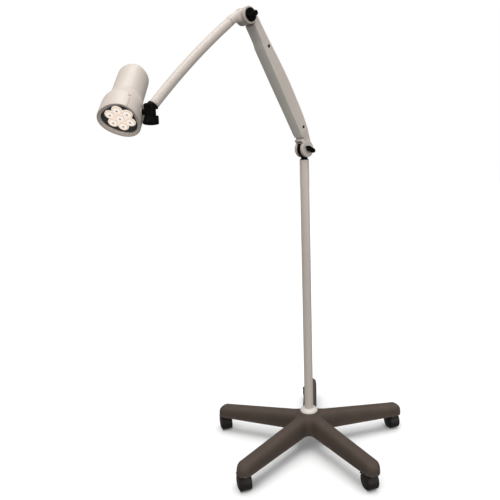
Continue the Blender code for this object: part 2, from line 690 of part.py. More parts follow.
def build_head_joint(elbow, turn, to_turn, black, steel):
    """The socket on the tube's end, the yoke that turns under it, and the knob that clamps them."""
    barrel = 0.0130
    split = 0.0068
    inside = TUBE_RADIUS - TUBE_WALL
    rings = [tube_ring(x, inside - CLEAR, 16) for x in (TUBE_END - 0.025, TUBE_END + 0.004)]
    socket = add("head_socket", lofted("head_socket", rings), black, elbow)
    collar = [tube_ring(TUBE_END + CLEAR, 0.0118, 22)]
    collar += [tube_ring(TUBE_END + x, r, 22) for x, r in ((0.0012, 0.0127), (0.0085, 0.0130))]
    combine(socket, helper("socket_collar", lofted("socket_collar", collar), elbow), "UNION")
    cap = [(barrel, split), (barrel, split + 0.0085), (barrel - 0.0030, split + 0.0120)]
    below = turned("socket_trim", [(0.05, -0.05), (0.05, split)], 24)
    bore = turned("socket_bore", [(0.0034, split - 0.002), (0.0034, split + 0.0080)], 14)
    under = empty("socket_place", elbow)
    under.matrix_local = to_turn
    combine(socket, helper("socket_barrel", turned("socket_barrel", cap, 24), under), "UNION")
    combine(socket, helper("socket_trim", below, under), "DIFFERENCE")
    combine(socket, helper("socket_bore", bore, under), "DIFFERENCE")

    floor = -0.0068
    ring = [
        (0.0034, floor),
        (barrel - 0.0006, floor),
        (barrel, floor + 0.0006),
        (barrel, split - CLEAR),
        (0.0034, split - CLEAR),
    ]
    yoke = add("head_yoke", turned_ring("head_yoke", ring, 24), black, turn)
    end = HEAD_OFFSET - BELL_RADIUS + 0.0006
    stub = turned("yoke_stub", [(0.0064, 0.0090), (0.0064, end)], 20)
    combine(yoke, helper("yoke_stub", stub, turn, rotation=(0, math.radians(90), 0)), "UNION")
    pin_hole = turned("yoke_pin_hole", [(0.0028, 0.0060), (0.0028, 0.0400)], 14)
    combine(yoke, helper("yoke_pin_hole", pin_hole, turn, rotation=(0, math.radians(90), 0)), "DIFFERENCE")
    bolt = [(0.0031, floor + 0.0005), (0.0031, split + 0.0075)]
    add("head_clamp_screw", turned("head_clamp_screw", bolt, 14), steel, turn)

    profile = [
        (0.0040, -0.0286),
        (0.0130, -0.0276),
        (0.0166, -0.0258),
        (0.0174, -0.0236),
        (0.0166, -0.0205),
        (0.0146, -0.0150),
        (0.0130, -0.0100),
        (0.0124, floor - CLEAR),
    ]
    clamp = add("head_knob", turned("head_knob", profile, 28), black, turn)
    outline = bar_outline(-0.0040, 0.0140, 0.0040, 0.0055)
    ends = (-0.0262, floor - 0.0012)
    lobe = lofted("knob_lobe", [[Vector((x, y, z)) for x, y in outline] for z in ends])
    combine(clamp, helper("knob_lobe", lobe, turn, rotation=(0, 0, math.radians(170))), "UNION")


# ---------------------------------------------------------------- head


def head_ring(station, radius, wave, count=36):
    """A section across the head: a circle drawn out towards three corners, one away from the joint."""
    points = []
    for i in range(count):
        turn = 2 * math.pi * i / count
        reach = radius + wave * math.cos(3 * turn)
        place = (HEAD_OFFSET + reach * math.cos(turn), reach * math.sin(turn), station - AXIS_STATION)
        points.append(Vector(place))
    return points


def build_head_shells(tilt, light):
    """The front bell with its three-cornered mouth, and the round rear housing."""
    wall = SHELL
    floor = LENS_FRONT + 0.0024
    outside = [
        (RIM_START, BELL_RADIUS - 0.0016, RIM_WAVE),
        (RIM_START + 0.0016, BELL_RADIUS, RIM_WAVE),
        (0.0220, BELL_RADIUS, RIM_WAVE * 0.8),
        (0.0400, BELL_RADIUS - 0.0008, RIM_WAVE * 0.5),
        (0.0500, BELL_RADIUS - 0.0040, RIM_WAVE * 0.3),
        (0.0600, BODY_RADIUS + 0.0022, RIM_WAVE * 0.1),
        (BELL_LENGTH, BODY_RADIUS + 0.0004, 0.0),
    ]
    inside = [
        (BELL_LENGTH, BODY_RADIUS + 0.0004 - wall, 0.0),
        (0.0600, BODY_RADIUS + 0.0004 - wall, 0.0),
        (0.0400, BELL_RADIUS - 0.0008 - wall, RIM_WAVE * 0.5),
        (floor, BELL_RADIUS - wall, RIM_WAVE * 0.8),
        (floor, MOUTH_RADIUS + 0.0010, MOUTH_WAVE),
        (MOUTH_EDGE, MOUTH_RADIUS, MOUTH_WAVE),
    ]
    rings = [head_ring(*row) for row in outside + inside]
    bell = add("head_bell", lofted("head_bell", rings, closed=True), light, tilt)
    start = HEAD_OFFSET - BELL_RADIUS + 0.0006 + CLEAR
    boss = turned("bell_boss", [(0.0085, start), (0.0085, start + 0.0045)], 20)
    combine(bell, helper("bell_boss", boss, tilt, rotation=(0, math.radians(90), 0)), "UNION")
    pin_hole = turned("bell_pin_hole", [(0.0028, 0.0), (0.0028, 0.0300)], 14)
    combine(bell, helper("bell_pin_hole", pin_hole, tilt, rotation=(0, math.radians(90), 0)), "DIFFERENCE")

    rear = HEAD_LENGTH
    spigot = BODY_RADIUS + 0.0004 - wall - CLEAR
    outside = [
        (0.0620, spigot, 0.0),
        (BELL_LENGTH + CLEAR, spigot, 0.0),
        (BELL_LENGTH + CLEAR, BODY_RADIUS - 0.0006, BODY_WAVE * 0.4),
        (rear - 0.0500, BODY_RADIUS - 0.0008, BODY_WAVE),
        (rear - 0.0190, BODY_RADIUS - 0.0012, BODY_WAVE),
        (rear - 0.0125, BODY_RADIUS - 0.0034, BODY_WAVE),
        (rear - 0.0040, BODY_RADIUS - 0.0095, BODY_WAVE * 0.6),
        (rear - 0.0010, BODY_RADIUS - 0.0190, 0.0),
        (rear, 0.0062, 0.0),
    ]
    inside = [
        (rear - wall, 0.0062, 0.0),
        (rear - 0.0010 - wall, BODY_RADIUS - 0.0195, 0.0),
        (rear - 0.0150, BODY_RADIUS - 0.0036 - wall, BODY_WAVE),
        (BELL_LENGTH + 0.0060, BODY_RADIUS - 0.0006 - wall, BODY_WAVE * 0.4),
        (0.0620, spigot - wall, 0.0),
    ]
    rings = [head_ring(*row, 32) for row in outside + inside]
    add("head_housing", lofted("head_housing", rings, closed=True), light, tilt)


def led_places():
    """The middles of the seven lenses, on the head's axis and round it."""
    places = [(HEAD_OFFSET, 0.0)]
    for i in range(6):
        turn = math.radians(30 + 60 * i)
        places.append((HEAD_OFFSET + LED_RING * math.cos(turn), LED_RING * math.sin(turn)))
    return places


def build_head_inside(tilt, dark, glass, board_green, aluminium, black, steel):
    """What shines, what cools it, and the switch at the rear."""
    front = LENS_FRONT
    edge = MOUTH_RADIUS + 0.0030
    plate = [head_ring(front + depth, edge, MOUTH_WAVE * 0.6, 30) for depth in (0.0027, 0.0044)]
    bezel = add("head_bezel", lofted("head_bezel", plate), dark, tilt)
    hole = turned("lens_hole", [(LED_RADIUS + 0.0006, -0.05), (LED_RADIUS + 0.0006, 0.05)], 20)
    core = turned("lens_core", [(LED_RING * 0.9, -0.05), (LED_RING * 0.9, 0.05)], 24)
    lens = [
        (LED_RADIUS * 0.84, 0.0),
        (LED_RADIUS, 0.0014),
        (LED_RADIUS, 0.0054),
        (0.0045, 0.0164),
    ]
    lens_mesh = turned("lens", [(r, front + z - AXIS_STATION) for r, z in lens], 16)
    web = [(LED_RING * 0.88, front + depth - AXIS_STATION) for depth in (0.0019, 0.0049)]
    web_disc = turned("lens_web", web, 24)
    array = add("lens_array", lens_mesh.copy(), glass, tilt, (HEAD_OFFSET, 0, 0))
    combine(bezel, helper("lens_core", core, tilt, (HEAD_OFFSET, 0, 0)), "DIFFERENCE")
    combine(array, helper("lens_web", web_disc, tilt, (HEAD_OFFSET, 0, 0)), "UNION")
    for index, (x, y) in enumerate(led_places()[1:]):
        combine(bezel, helper(f"lens_hole_{index}", hole, tilt, (x, y, 0)), "DIFFERENCE")
        combine(array, helper(f"lens_{index}", lens_mesh, tilt, (x, y, 0)), "UNION")

    def disc(name, radius, low, high, finish, count=28):
        profile = [(radius, low - AXIS_STATION), (radius, high - AXIS_STATION)]
        return add(name, turned(name, profile, count), finish, tilt, (HEAD_OFFSET, 0, 0))

    disc("led_board", 0.0310, front + 0.0167, front + 0.0183, board_green)
    sink = disc("heat_sink", 0.0312, front + 0.0186, front + 0.0242, aluminium)
    for index in range(7):
        y = (index - 3) * 0.0080
        reach = math.sqrt(0.0296**2 - y**2)
        low = (-reach, y - 0.0011, front + 0.0230 - AXIS_STATION)
        fin = box("sink_fin", low, (reach, y + 0.0011, 0.0900 - AXIS_STATION))
        combine(sink, helper(f"sink_fin_{index}", fin, tilt, (HEAD_OFFSET, 0, 0)), "UNION")

    rear = HEAD_LENGTH - AXIS_STATION
    button = [
        (0.0080, rear - SHELL - 0.0080),
        (0.0080, rear - SHELL - 0.0030),
        (0.0057, rear - SHELL - 0.0030),
        (0.0057, rear + 0.0022),
        (0.0048, rear + 0.0030),
    ]
    add("switch_button", turned("switch_button", button, 18), black, tilt, (HEAD_OFFSET, 0, 0))
    end = HEAD_OFFSET - BELL_RADIUS + 0.0060
    pin = turned("head_tilt_pin", [(0.0025, 0.0064), (0.0025, end)], 14)
    add("head_tilt_pin", pin, steel, tilt, rotation=(0, math.radians(90), 0))


# ---------------------------------------------------------------- the light


def build():
    for obj in list(bpy.data.objects):
        bpy.data.objects.remove(obj, do_unlink=True)
    light = material("light_paint", (0.60, 0.55, 0.50), 0.4)
    grey = material("grey_plastic", (0.30, 0.29, 0.28), 0.5)
    plastic = material("base_plastic", (0.075, 0.062, 0.055), 0.55)
    dark = material("castor_plastic", (0.03, 0.027, 0.025), 0.5)
    black = material("black_plastic", (0.012, 0.012, 0.012), 0.45)
    steel = material("steel", (0.55, 0.55, 0.56), 0.35, 1.0)
    iron = material("cast_iron", (0.12, 0.12, 0.12), 0.7, 0.6)
    nylon = material("nylon_washer", (0.75, 0.73, 0.68), 0.5)
    bezel = material("bezel", (0.035, 0.037, 0.040), 0.35)
    glass = material("lens", (0.95, 0.93, 0.88), 0.08)
    board = material("circuit_board", (0.06, 0.22, 0.10), 0.5)
    aluminium = material("aluminium", (0.70, 0.70, 0.71), 0.35, 1.0)
    pole = empty("pole_axis", None, (POLE_X, POLE_Y, 0))
    build_base(pole, plastic, light, iron, steel, black)
    build_castors(pole, dark, steel)
    swivel = empty("arm_swivel", pole, (0, 0, TILT_HEIGHT), (0, 0, ARM_PLANE))
    tilt = empty("arm_tilt", swivel, (0, 0, 0), (0, -ARM_TILT, 0))
    housing = build_arm_shells(tilt, light, grey)
    build_arm_inside(tilt, housing, steel, black)
    build_lower_joint(swivel, tilt, black, steel, nylon)
    raised = Matrix.Rotation(-ARM_TILT, 4, "Y")
    elbow_frame = raised @ Matrix.Translation((ARM_LENGTH, 0, 0)) @ Matrix.Rotation(ELBOW_BEND, 4, "Y")
    elbow = empty("elbow", tilt, (ARM_LENGTH, 0, 0), (0, ELBOW_BEND, 0))
    half = build_elbow(tilt, elbow, black, steel, nylon)
    build_forearm(elbow, light, half)
    place = Matrix.Translation((JOINT_REACH, 0, JOINT_HEIGHT - TILT_HEIGHT))
    joint = place @ Matrix.Rotation(HEAD_TURN - ARM_PLANE, 4, "Z")
    to_turn = elbow_frame.inverted() @ joint
    turn = empty("head_turn", elbow)
    turn.matrix_local = to_turn
    build_head_joint(elbow, turn, to_turn, black, steel)
    head = empty("head_tilt", turn, (0, 0, 0), (HEAD_TILT, 0, 0))
    build_head_shells(head, light)
    build_head_inside(head, bezel, glass, board, aluminium, black, steel)


build()
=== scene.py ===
"""Looks of the mobile surgical light: its visible pieces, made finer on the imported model's frame."""

import json
import math

import bmesh
import bpy
from mathutils import Matrix, Vector

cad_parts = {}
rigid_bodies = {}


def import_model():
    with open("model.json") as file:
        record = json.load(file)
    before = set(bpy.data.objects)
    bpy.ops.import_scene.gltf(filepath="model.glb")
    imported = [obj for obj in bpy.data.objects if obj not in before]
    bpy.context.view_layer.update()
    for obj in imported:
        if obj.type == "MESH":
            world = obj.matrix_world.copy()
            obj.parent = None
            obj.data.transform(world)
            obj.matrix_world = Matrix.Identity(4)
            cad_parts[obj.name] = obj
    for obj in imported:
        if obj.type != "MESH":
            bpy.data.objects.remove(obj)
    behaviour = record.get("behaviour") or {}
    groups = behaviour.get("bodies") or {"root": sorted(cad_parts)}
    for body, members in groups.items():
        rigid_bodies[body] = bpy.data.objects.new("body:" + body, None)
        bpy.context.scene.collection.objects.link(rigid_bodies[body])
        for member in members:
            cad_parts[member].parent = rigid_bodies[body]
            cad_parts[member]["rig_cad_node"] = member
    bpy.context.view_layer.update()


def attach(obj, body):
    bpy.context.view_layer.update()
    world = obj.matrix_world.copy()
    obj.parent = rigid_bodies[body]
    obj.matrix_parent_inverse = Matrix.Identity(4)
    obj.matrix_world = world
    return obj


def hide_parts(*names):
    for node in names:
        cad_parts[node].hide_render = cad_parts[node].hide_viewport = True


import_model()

# ---------------------------------------------------------------- the light's own sizes, in metres

POLE_X, POLE_Y = 0.0716, 0.0298
LEGS = 5
FIRST_LEG = math.radians(16.7)
LEG_REACH = 0.320
LEG_HALF_WIDTH = 0.0229
LEG_BOTTOM = 0.0547
HUB_TOP = 0.1142
VALLEY_RADIUS = 0.0520
LEG_WALL = 0.0040
POLE_RADIUS = 0.0136
POLE_WALL = 0.0020
POLE_TOP = 0.9019
POLE_FOOT = 0.0700
WHEEL_RADIUS = 0.0245
WHEEL_WIDTH = 0.0115
WHEEL_INSIDE = 0.0068
CASTOR_TRAIL = 0.0140
CASTOR_AXIS = LEG_REACH - LEG_HALF_WIDTH
CASTOR_HEADING = math.radians(112)
ARM_PLANE = math.radians(226)
ARM_TILT = math.radians(58.3)
TILT_HEIGHT = 0.9330
ARM_LENGTH = 0.3860
FORK_RADIUS, FORK_GAP, FORK_WIDTH = 0.0236, 0.0154, 0.0300
ELBOW_RADIUS, ELBOW_GAP, ELBOW_WIDTH = 0.0208, 0.0230, 0.0370
ELBOW_BEND = math.radians(99.8)
TUBE_RADIUS, TUBE_WALL = 0.01125, 0.0018
TUBE_RISE, TUBE_CREST, TUBE_BOW = 0.0198, 0.1500, 2.020
TUBE_START, TUBE_END = 0.0560, 0.3592
CLEAR = 0.0003
JOINT_REACH, JOINT_HEIGHT = 0.4875, 1.0144
HEAD_TURN = math.radians(177.4)
HEAD_TILT = math.radians(45.6)
HEAD_OFFSET = 0.0625
HEAD_LENGTH = 0.1650
AXIS_STATION = 0.0224
BELL_RADIUS, BELL_LENGTH = 0.0466, 0.0700
BODY_RADIUS, BODY_WAVE = 0.0360, 0.0012
RIM_WAVE = 0.0022
MOUTH_RADIUS, MOUTH_WAVE = 0.0385, 0.0025
RIM_START, MOUTH_EDGE, LENS_FRONT = -0.0050, -0.0025, 0.0008
SHELL = 0.0025
LED_RING, LED_RADIUS = 0.0218, 0.0114
GROOVE_TURN = math.radians(127.6)
INLET_HEIGHT, SCREW_HEIGHT = 0.1750, 0.6000
BOLT_HOLE, WASHER_ROOM, FACE_RISE = 0.0041, 0.0016, 0.0004


def turned_by(angle, axis):
    return Matrix.Rotation(angle, 4, axis)


# Places of the joints, each as the frame that its pieces are drawn in
POLE = Matrix.Translation((POLE_X, POLE_Y, 0))
SWIVEL = POLE @ Matrix.Translation((0, 0, TILT_HEIGHT)) @ turned_by(ARM_PLANE, "Z")
TILT = SWIVEL @ turned_by(-ARM_TILT, "Y")
ELBOW_BOLT = TILT @ Matrix.Translation((ARM_LENGTH, 0, 0))
ELBOW = ELBOW_BOLT @ turned_by(ELBOW_BEND, "Y")
JOINT = Vector((JOINT_REACH * math.cos(ARM_PLANE), JOINT_REACH * math.sin(ARM_PLANE), JOINT_HEIGHT))
YOKE = POLE @ Matrix.Translation(JOINT) @ turned_by(HEAD_TURN, "Z")
HEAD = YOKE @ turned_by(HEAD_TILT, "X")
LAMP = HEAD @ Matrix.Translation((HEAD_OFFSET, 0, -AXIS_STATION))

# ---------------------------------------------------------------- materials


def node(tree, kind, **settings):
    made = tree.nodes.new(kind)
    for key, value in settings.items():
        if key in made.inputs:
            made.inputs[key].default_value = value
        else:
            setattr(made, key, value)
    return made


def noise(tree, place, scale, detail=4.0, rough=0.55):
    made = node(tree, "ShaderNodeTexNoise", Scale=scale, Detail=detail, Roughness=rough)
    tree.links.new(place, made.inputs["Vector"])
    return made.outputs["Fac"]


def ramp(tree, value, stops):
    made = node(tree, "ShaderNodeValToRGB")
    tree.links.new(value, made.inputs["Fac"])
    bar = made.color_ramp
    for index, (spot, color) in enumerate(stops):
        stop = bar.elements[index] if index < 2 else bar.elements.new(spot)
        stop.position = spot
        stop.color = (*color, 1)
    return made.outputs["Color"]


def to_range(tree, value, low, high, out_low, out_high):
    made = node(tree, "ShaderNodeMapRange")
    for key, number in zip(("From Min", "From Max", "To Min", "To Max"), (low, high, out_low, out_high)):
        made.inputs[key].default_value = number
    tree.links.new(value, made.inputs["Value"])
    return made.outputs["Result"]


def shaded(color, factor):
    return tuple(min(1.0, c * factor) for c in color)


def finish(
    name, color, rough, grain=900.0, bump=0.05, mottle=0.06, spread=0.05, metallic=0.0, coat=0.0, worn=None,
    gloss=0.5,
):
    """A moulded, painted or metal surface, uneven in colour and gloss. worn colours its rubbed edges."""
    made = bpy.data.materials.new(name)
    made.use_nodes = True
    tree = made.node_tree
    shader = tree.nodes["Principled BSDF"]
    place = node(tree, "ShaderNodeTexCoord").outputs["Object"]
    broad = noise(tree, place, 14.0, 3.0)
    tone = ramp(tree, broad, [(0.30, shaded(color, 1 - mottle)), (0.70, shaded(color, 1 + mottle))])
    fine = noise(tree, place, grain, 2.0)
    flecks = ramp(tree, fine, [(0.35, (0.93, 0.93, 0.93)), (0.65, (1, 1, 1))])
    blend = node(tree, "ShaderNodeMix", data_type="RGBA", blend_type="MULTIPLY")
    blend.inputs["Factor"].default_value = 0.5
    tree.links.new(tone, blend.inputs["A"])
    tree.links.new(flecks, blend.inputs["B"])
    surface = blend.outputs["Result"]
    if worn:
        edge = node(tree, "ShaderNodeNewGeometry").outputs["Pointiness"]
        scratch = noise(tree, place, 160.0, 6.0, 0.7)
        both = node(tree, "ShaderNodeMath", operation="MULTIPLY")
        tree.links.new(to_range(tree, edge, 0.53, 0.60, 0.0, 1.0), both.inputs[0])
        tree.links.new(to_range(tree, scratch, 0.48, 0.62, 0.0, 1.0), both.inputs[1])
        rub = node(tree, "ShaderNodeMix", data_type="RGBA")
        tree.links.new(both.outputs[0], rub.inputs["Factor"])
        tree.links.new(surface, rub.inputs["A"])
        rub.inputs["B"].default_value = (*worn, 1)
        surface = rub.outputs["Result"]
    tree.links.new(surface, shader.inputs["Base Color"])
    smear = noise(tree, place, 38.0, 5.0, 0.6)
    tree.links.new(
        to_range(tree, smear, 0.3, 0.7, rough - spread, rough + spread), shader.inputs["Roughness"]
    )
    shader.inputs["Metallic"].default_value = metallic
    shader.inputs["Specular IOR Level"].default_value = gloss
    shader.inputs["Coat Weight"].default_value = coat
    shader.inputs["Coat Roughness"].default_value = 0.18
    lift = node(tree, "ShaderNodeBump", Strength=bump, Distance=0.0004)
    tree.links.new(fine, lift.inputs["Height"])
    tree.links.new(lift.outputs["Normal"], shader.inputs["Normal"])
    return made


def turned_metal(name, color, rough):
    """Bare metal with the fine rings that a lathe leaves about Z."""
    made = finish(name, color, rough, 300.0, 0.03, 0.05, 0.06, 1.0)
    tree = made.node_tree
    place = tree.nodes["Texture Coordinate"].outputs["Object"]
    rings = node(tree, "ShaderNodeTexWave", wave_type="RINGS", Scale=700.0, Distortion=0.4)
    tree.links.new(place, rings.inputs["Vector"])
    lift = tree.nodes["Bump"]
    tree.links.new(rings.outputs["Fac"], lift.inputs["Height"])
    return made


def lamp_lens():
    """A lit lens about Z: a bright cream face, an amber rim and the dim chip seen at its middle."""
    made = bpy.data.materials.new("lit_lens")
    made.use_nodes = True
    tree = made.node_tree
    shader = tree.nodes["Principled BSDF"]
    place = node(tree, "ShaderNodeTexCoord").outputs["Object"]
    split = node(tree, "ShaderNodeSeparateXYZ")
    tree.links.new(place, split.inputs[0])
    flat = node(tree, "ShaderNodeCombineXYZ")
    tree.links.new(split.outputs["X"], flat.inputs["X"])
    tree.links.new(split.outputs["Y"], flat.inputs["Y"])
    reach = node(tree, "ShaderNodeVectorMath", operation="LENGTH")
    tree.links.new(flat.outputs[0], reach.inputs[0])
    share = to_range(tree, reach.outputs["Value"], 0.0, LED_RADIUS, 0.0, 1.0)
    rough_edge = noise(tree, place, 420.0, 3.0)
    wobble = node(tree, "ShaderNodeMath", operation="MULTIPLY_ADD")
    tree.links.new(rough_edge, wobble.inputs[0])
    wobble.inputs[1].default_value = 0.22
    tree.links.new(share, wobble.inputs[2])
    stops = [
        (0.16, (0.20, 0.16, 0.17)),
        (0.30, (0.50, 0.41, 0.40)),
        (0.40, (1.0, 0.94, 0.90)),
        (0.74, (1.0, 0.92, 0.84)),
        (0.88, (1.0, 0.76, 0.58)),
        (0.99, (0.55, 0.32, 0.20)),
        (1.00, (1.0, 0.88, 0.76)),
    ]
    glow = ramp(tree, wobble.outputs[0], stops)
    shader.inputs["Base Color"].default_value = (0.06, 0.05, 0.045, 1)
    tree.links.new(glow, shader.inputs["Emission Color"])
    shader.inputs["Emission Strength"].default_value = 0.95
    shader.inputs["Roughness"].default_value = 0.12
    shader.inputs["Coat Weight"].default_value = 1.0
    shader.inputs["Coat Roughness"].default_value = 0.03
    return made


PAINT = finish("cream_paint", (0.60, 0.53, 0.475), 0.46, 1400.0, 0.02, 0.01, 0.04, coat=0.08)
POLE_PAINT = finish("pole_paint", (0.53, 0.475, 0.425), 0.40, 1400.0, 0.03, 0.02, 0.05, coat=0.12)
GREY = finish("grey_plastic", (0.68, 0.645, 0.59), 0.50, 1100.0, 0.03, 0.03, 0.05, gloss=0.3)
BASE = finish(
    "base_plastic", (0.070, 0.052, 0.042), 0.60, 700.0, 0.20, 0.08, 0.06, worn=(0.14, 0.11, 0.095),
    gloss=0.15,
)
COLLAR = finish("collar_plastic", (0.58, 0.545, 0.505), 0.36, 900.0, 0.05, 0.02, 0.04)
CASTOR = finish(
    "castor_nylon", (0.016, 0.013, 0.0115), 0.42, 800.0, 0.16, 0.12, 0.07, worn=(0.05, 0.042, 0.036),
    gloss=0.20,
)
TREAD = finish("castor_tread", (0.009, 0.008, 0.008), 0.62, 500.0, 0.30, 0.18, 0.08, gloss=0.15)
BLACK = finish(
    "black_plastic", (0.0042, 0.0040, 0.0038), 0.38, 900.0, 0.12, 0.15, 0.06, worn=(0.012, 0.010, 0.009),
    gloss=0.03,
)
BEZEL = finish("bezel_plastic", (0.042, 0.046, 0.052), 0.34, 900.0, 0.12, 0.08, 0.05)
NYLON = finish("nylon", (0.66, 0.63, 0.56), 0.5, 600.0, 0.06, 0.04, 0.05)
BOARD = finish("circuit_board", (0.035, 0.16, 0.06), 0.38, 500.0, 0.05, 0.10, 0.05, coat=0.4)
ALUMINIUM = finish("aluminium", (0.62, 0.62, 0.63), 0.34, 400.0, 0.05, 0.04, 0.07, 1.0)
IRON = finish("cast_iron", (0.055, 0.052, 0.050), 0.72, 260.0, 0.60, 0.15, 0.08, 0.4)
STEEL = turned_metal("plated_steel", (0.52, 0.52, 0.54), 0.30)
DARK_STEEL = turned_metal("black_screw", (0.030, 0.029, 0.028), 0.34)
LENS = lamp_lens()

# ---------------------------------------------------------------- shapes


def finish_mesh(bm, name):
    bmesh.ops.remove_doubles(bm, verts=bm.verts, dist=1e-6)
    bmesh.ops.recalc_face_normals(bm, faces=bm.faces)
    mesh = bpy.data.meshes.new(name)
    bm.to_mesh(mesh)
    bm.free()
    return mesh


def lofted(rings, closed=False, caps=True):
    """A skin through rings of points, capped at its ends or joined end to end."""
    bm = bmesh.new()
    loops = [[bm.verts.new(point) for point in ring] for ring in rings]
    pairs = list(zip(loops, loops[1:]))
    if closed:
        pairs.append((loops[-1], loops[0]))
    elif caps:
        bm.faces.new(loops[0])
        bm.faces.new(loops[-1])
    for first, second in pairs:
        for i in range(len(first)):
            j = (i + 1) % len(first)
            bm.faces.new((first[i], first[j], second[j], second[i]))
    return finish_mesh(bm, "loft")


def circle(radius, z, count):
    turns = [2 * math.pi * i / count for i in range(count)]
    return [Vector((radius * math.cos(turn), radius * math.sin(turn), z)) for turn in turns]


def turned(profile, count=64):
    return lofted([circle(radius, z, count) for radius, z in profile])


def turned_ring(profile, count=64):
    rings = []
    for i in range(count):
        turn = 2 * math.pi * i / count
        rings.append([Vector((r * math.cos(turn), r * math.sin(turn), z)) for r, z in profile])
    return lofted(rings, closed=True)


def about_y(mesh):
    mesh.transform(turned_by(math.radians(-90), "X"))
    return mesh


def extruded(outline, low, high):
    return lofted([[Vector((x, y, z)) for x, z in outline] for y in (low, high)])


def arc(radius, start, end, steps, middle=(0.0, 0.0)):
    points = []
    for i in range(steps + 1):
        turn = math.radians(start + (end - start) * i / steps)
        points.append((middle[0] + radius * math.cos(turn), middle[1] + radius * math.sin(turn)))
    return points


def rounded(profile, radius, steps=4):
    """A profile with each inner corner replaced by a small arc-like curve."""
    out = [profile[0]]
    for before, corner, after in zip(profile, profile[1:], profile[2:]):
        a, b, c = Vector(before), Vector(corner), Vector(after)
        cut = min(radius, (a - b).length * 0.45, (c - b).length * 0.45)
        first = b + (a - b).normalized() * cut
        last = b + (c - b).normalized() * cut
        for i in range(steps + 1):
            t = i / steps
            out.append(tuple(first * (1 - t) ** 2 + b * 2 * t * (1 - t) + last * t * t))
    out.append(profile[-1])
    return out


def smooth_step(low, high, value):
    t = min(1.0, max(0.0, (value - low) / (high - low)))
    return t * t * (3 - 2 * t)


def disc_y(radius, low, high, edge=0.0012, count=72):
    """A disc about Y with rounded edges."""
    edge = min(edge, (high - low) / 3)
    profile = [(radius - edge * 2, low), (radius, low), (radius, high), (radius - edge * 2, high)]
    return about_y(turned(rounded(profile, edge), count))


def block(low, high):
    bm = bmesh.new()
    size = [high[i] - low[i] for i in range(3)]
    middle = [(high[i] + low[i]) / 2 for i in range(3)]
    bmesh.ops.create_cube(bm, size=1, matrix=Matrix.Translation(middle) @ Matrix.Diagonal((*size, 1)))
    return finish_mesh(bm, "block")


def moved(mesh, place):
    mesh = mesh.copy()
    mesh.transform(place)
    return mesh


def joined(meshes):
    """Separate shells in one mesh."""
    bm = bmesh.new()
    for mesh in meshes:
        bm.from_mesh(mesh)
    made = bpy.data.meshes.new("joined")
    bm.to_mesh(made)
    bm.free()
    return made


def applied(mesh, build):
    """The mesh after the modifiers that build adds."""
    obj = bpy.data.objects.new("work", mesh)
    bpy.context.scene.collection.objects.link(obj)
    extra = build(obj) or []
    bpy.context.view_layer.update()
    made = bpy.data.meshes.new_from_object(obj.evaluated_get(bpy.context.evaluated_depsgraph_get()))
    for each in [obj, *extra]:
        bpy.data.objects.remove(each)
    return made


def combined(mesh, *steps):
    """The mesh after Booleans, each step an operation and the mesh it uses."""

    def build(obj):
        others = []
        for operation, other in steps:
            tool = bpy.data.objects.new("tool", other)
            bpy.context.scene.collection.objects.link(tool)
            modifier = obj.modifiers.new("bool", "BOOLEAN")
            modifier.operation = operation
            modifier.object = tool
            modifier.solver = "EXACT"
            others.append(tool)
        return others

    return applied(mesh, build)


def bevelled(mesh, width, segments=2, angle=35):
    def build(obj):
        modifier = obj.modifiers.new("bevel", "BEVEL")
        modifier.width = width
        modifier.segments = segments
        modifier.limit_method = "ANGLE"
        modifier.angle_limit = math.radians(angle)
        modifier.use_clamp_overlap = True

    return applied(mesh, build)


def piece(name, mesh, place, look, body, nodes=(), sharp=38):
    """A finished piece: shaded, placed, riding on its body and standing for its CAD nodes."""
    mesh = mesh.copy()
    mesh.shade_smooth()
    mesh.set_sharp_from_angle(angle=math.radians(sharp))
    mesh.materials.clear()
    mesh.materials.append(look)
    obj = bpy.data.objects.new(name, mesh)
    obj.matrix_world = place
    bpy.context.scene.collection.objects.link(obj)
    bpy.context.view_layer.update()
    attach(obj, body)
    if nodes:
        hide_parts(*nodes)
    return obj


# ---------------------------------------------------------------- base and pole


def half_outline():
    """Half of one leg's outline, from the valley beside it to its tip, each with its point on the spine."""
    share = math.pi / LEGS
    middle = LEG_REACH - LEG_HALF_WIDTH
    far = (VALLEY_RADIUS - LEG_HALF_WIDTH) / (1 - math.sin(share))
    bend = far * math.sin(share) - LEG_HALF_WIDTH
    centre = Vector((far * math.cos(share), far * math.sin(share)))
    points = []
    for i in range(13):
        turn = math.pi + share + (math.pi / 2 - share) * i / 12
        spot = centre + bend * Vector((math.cos(turn), math.sin(turn)))
        points.append((spot, Vector((centre.x * i / 12, 0))))
    for i in range(1, 25):
        x = centre.x + (middle - centre.x) * i / 24
        points.append((Vector((x, LEG_HALF_WIDTH)), Vector((x, 0))))
    for i in range(1, 13):
        turn = math.pi / 2 * (1 - i / 12)
        spot = Vector((middle + LEG_HALF_WIDTH * math.cos(turn), LEG_HALF_WIDTH * math.sin(turn)))
        points.append((spot, Vector((middle, 0))))
    return points


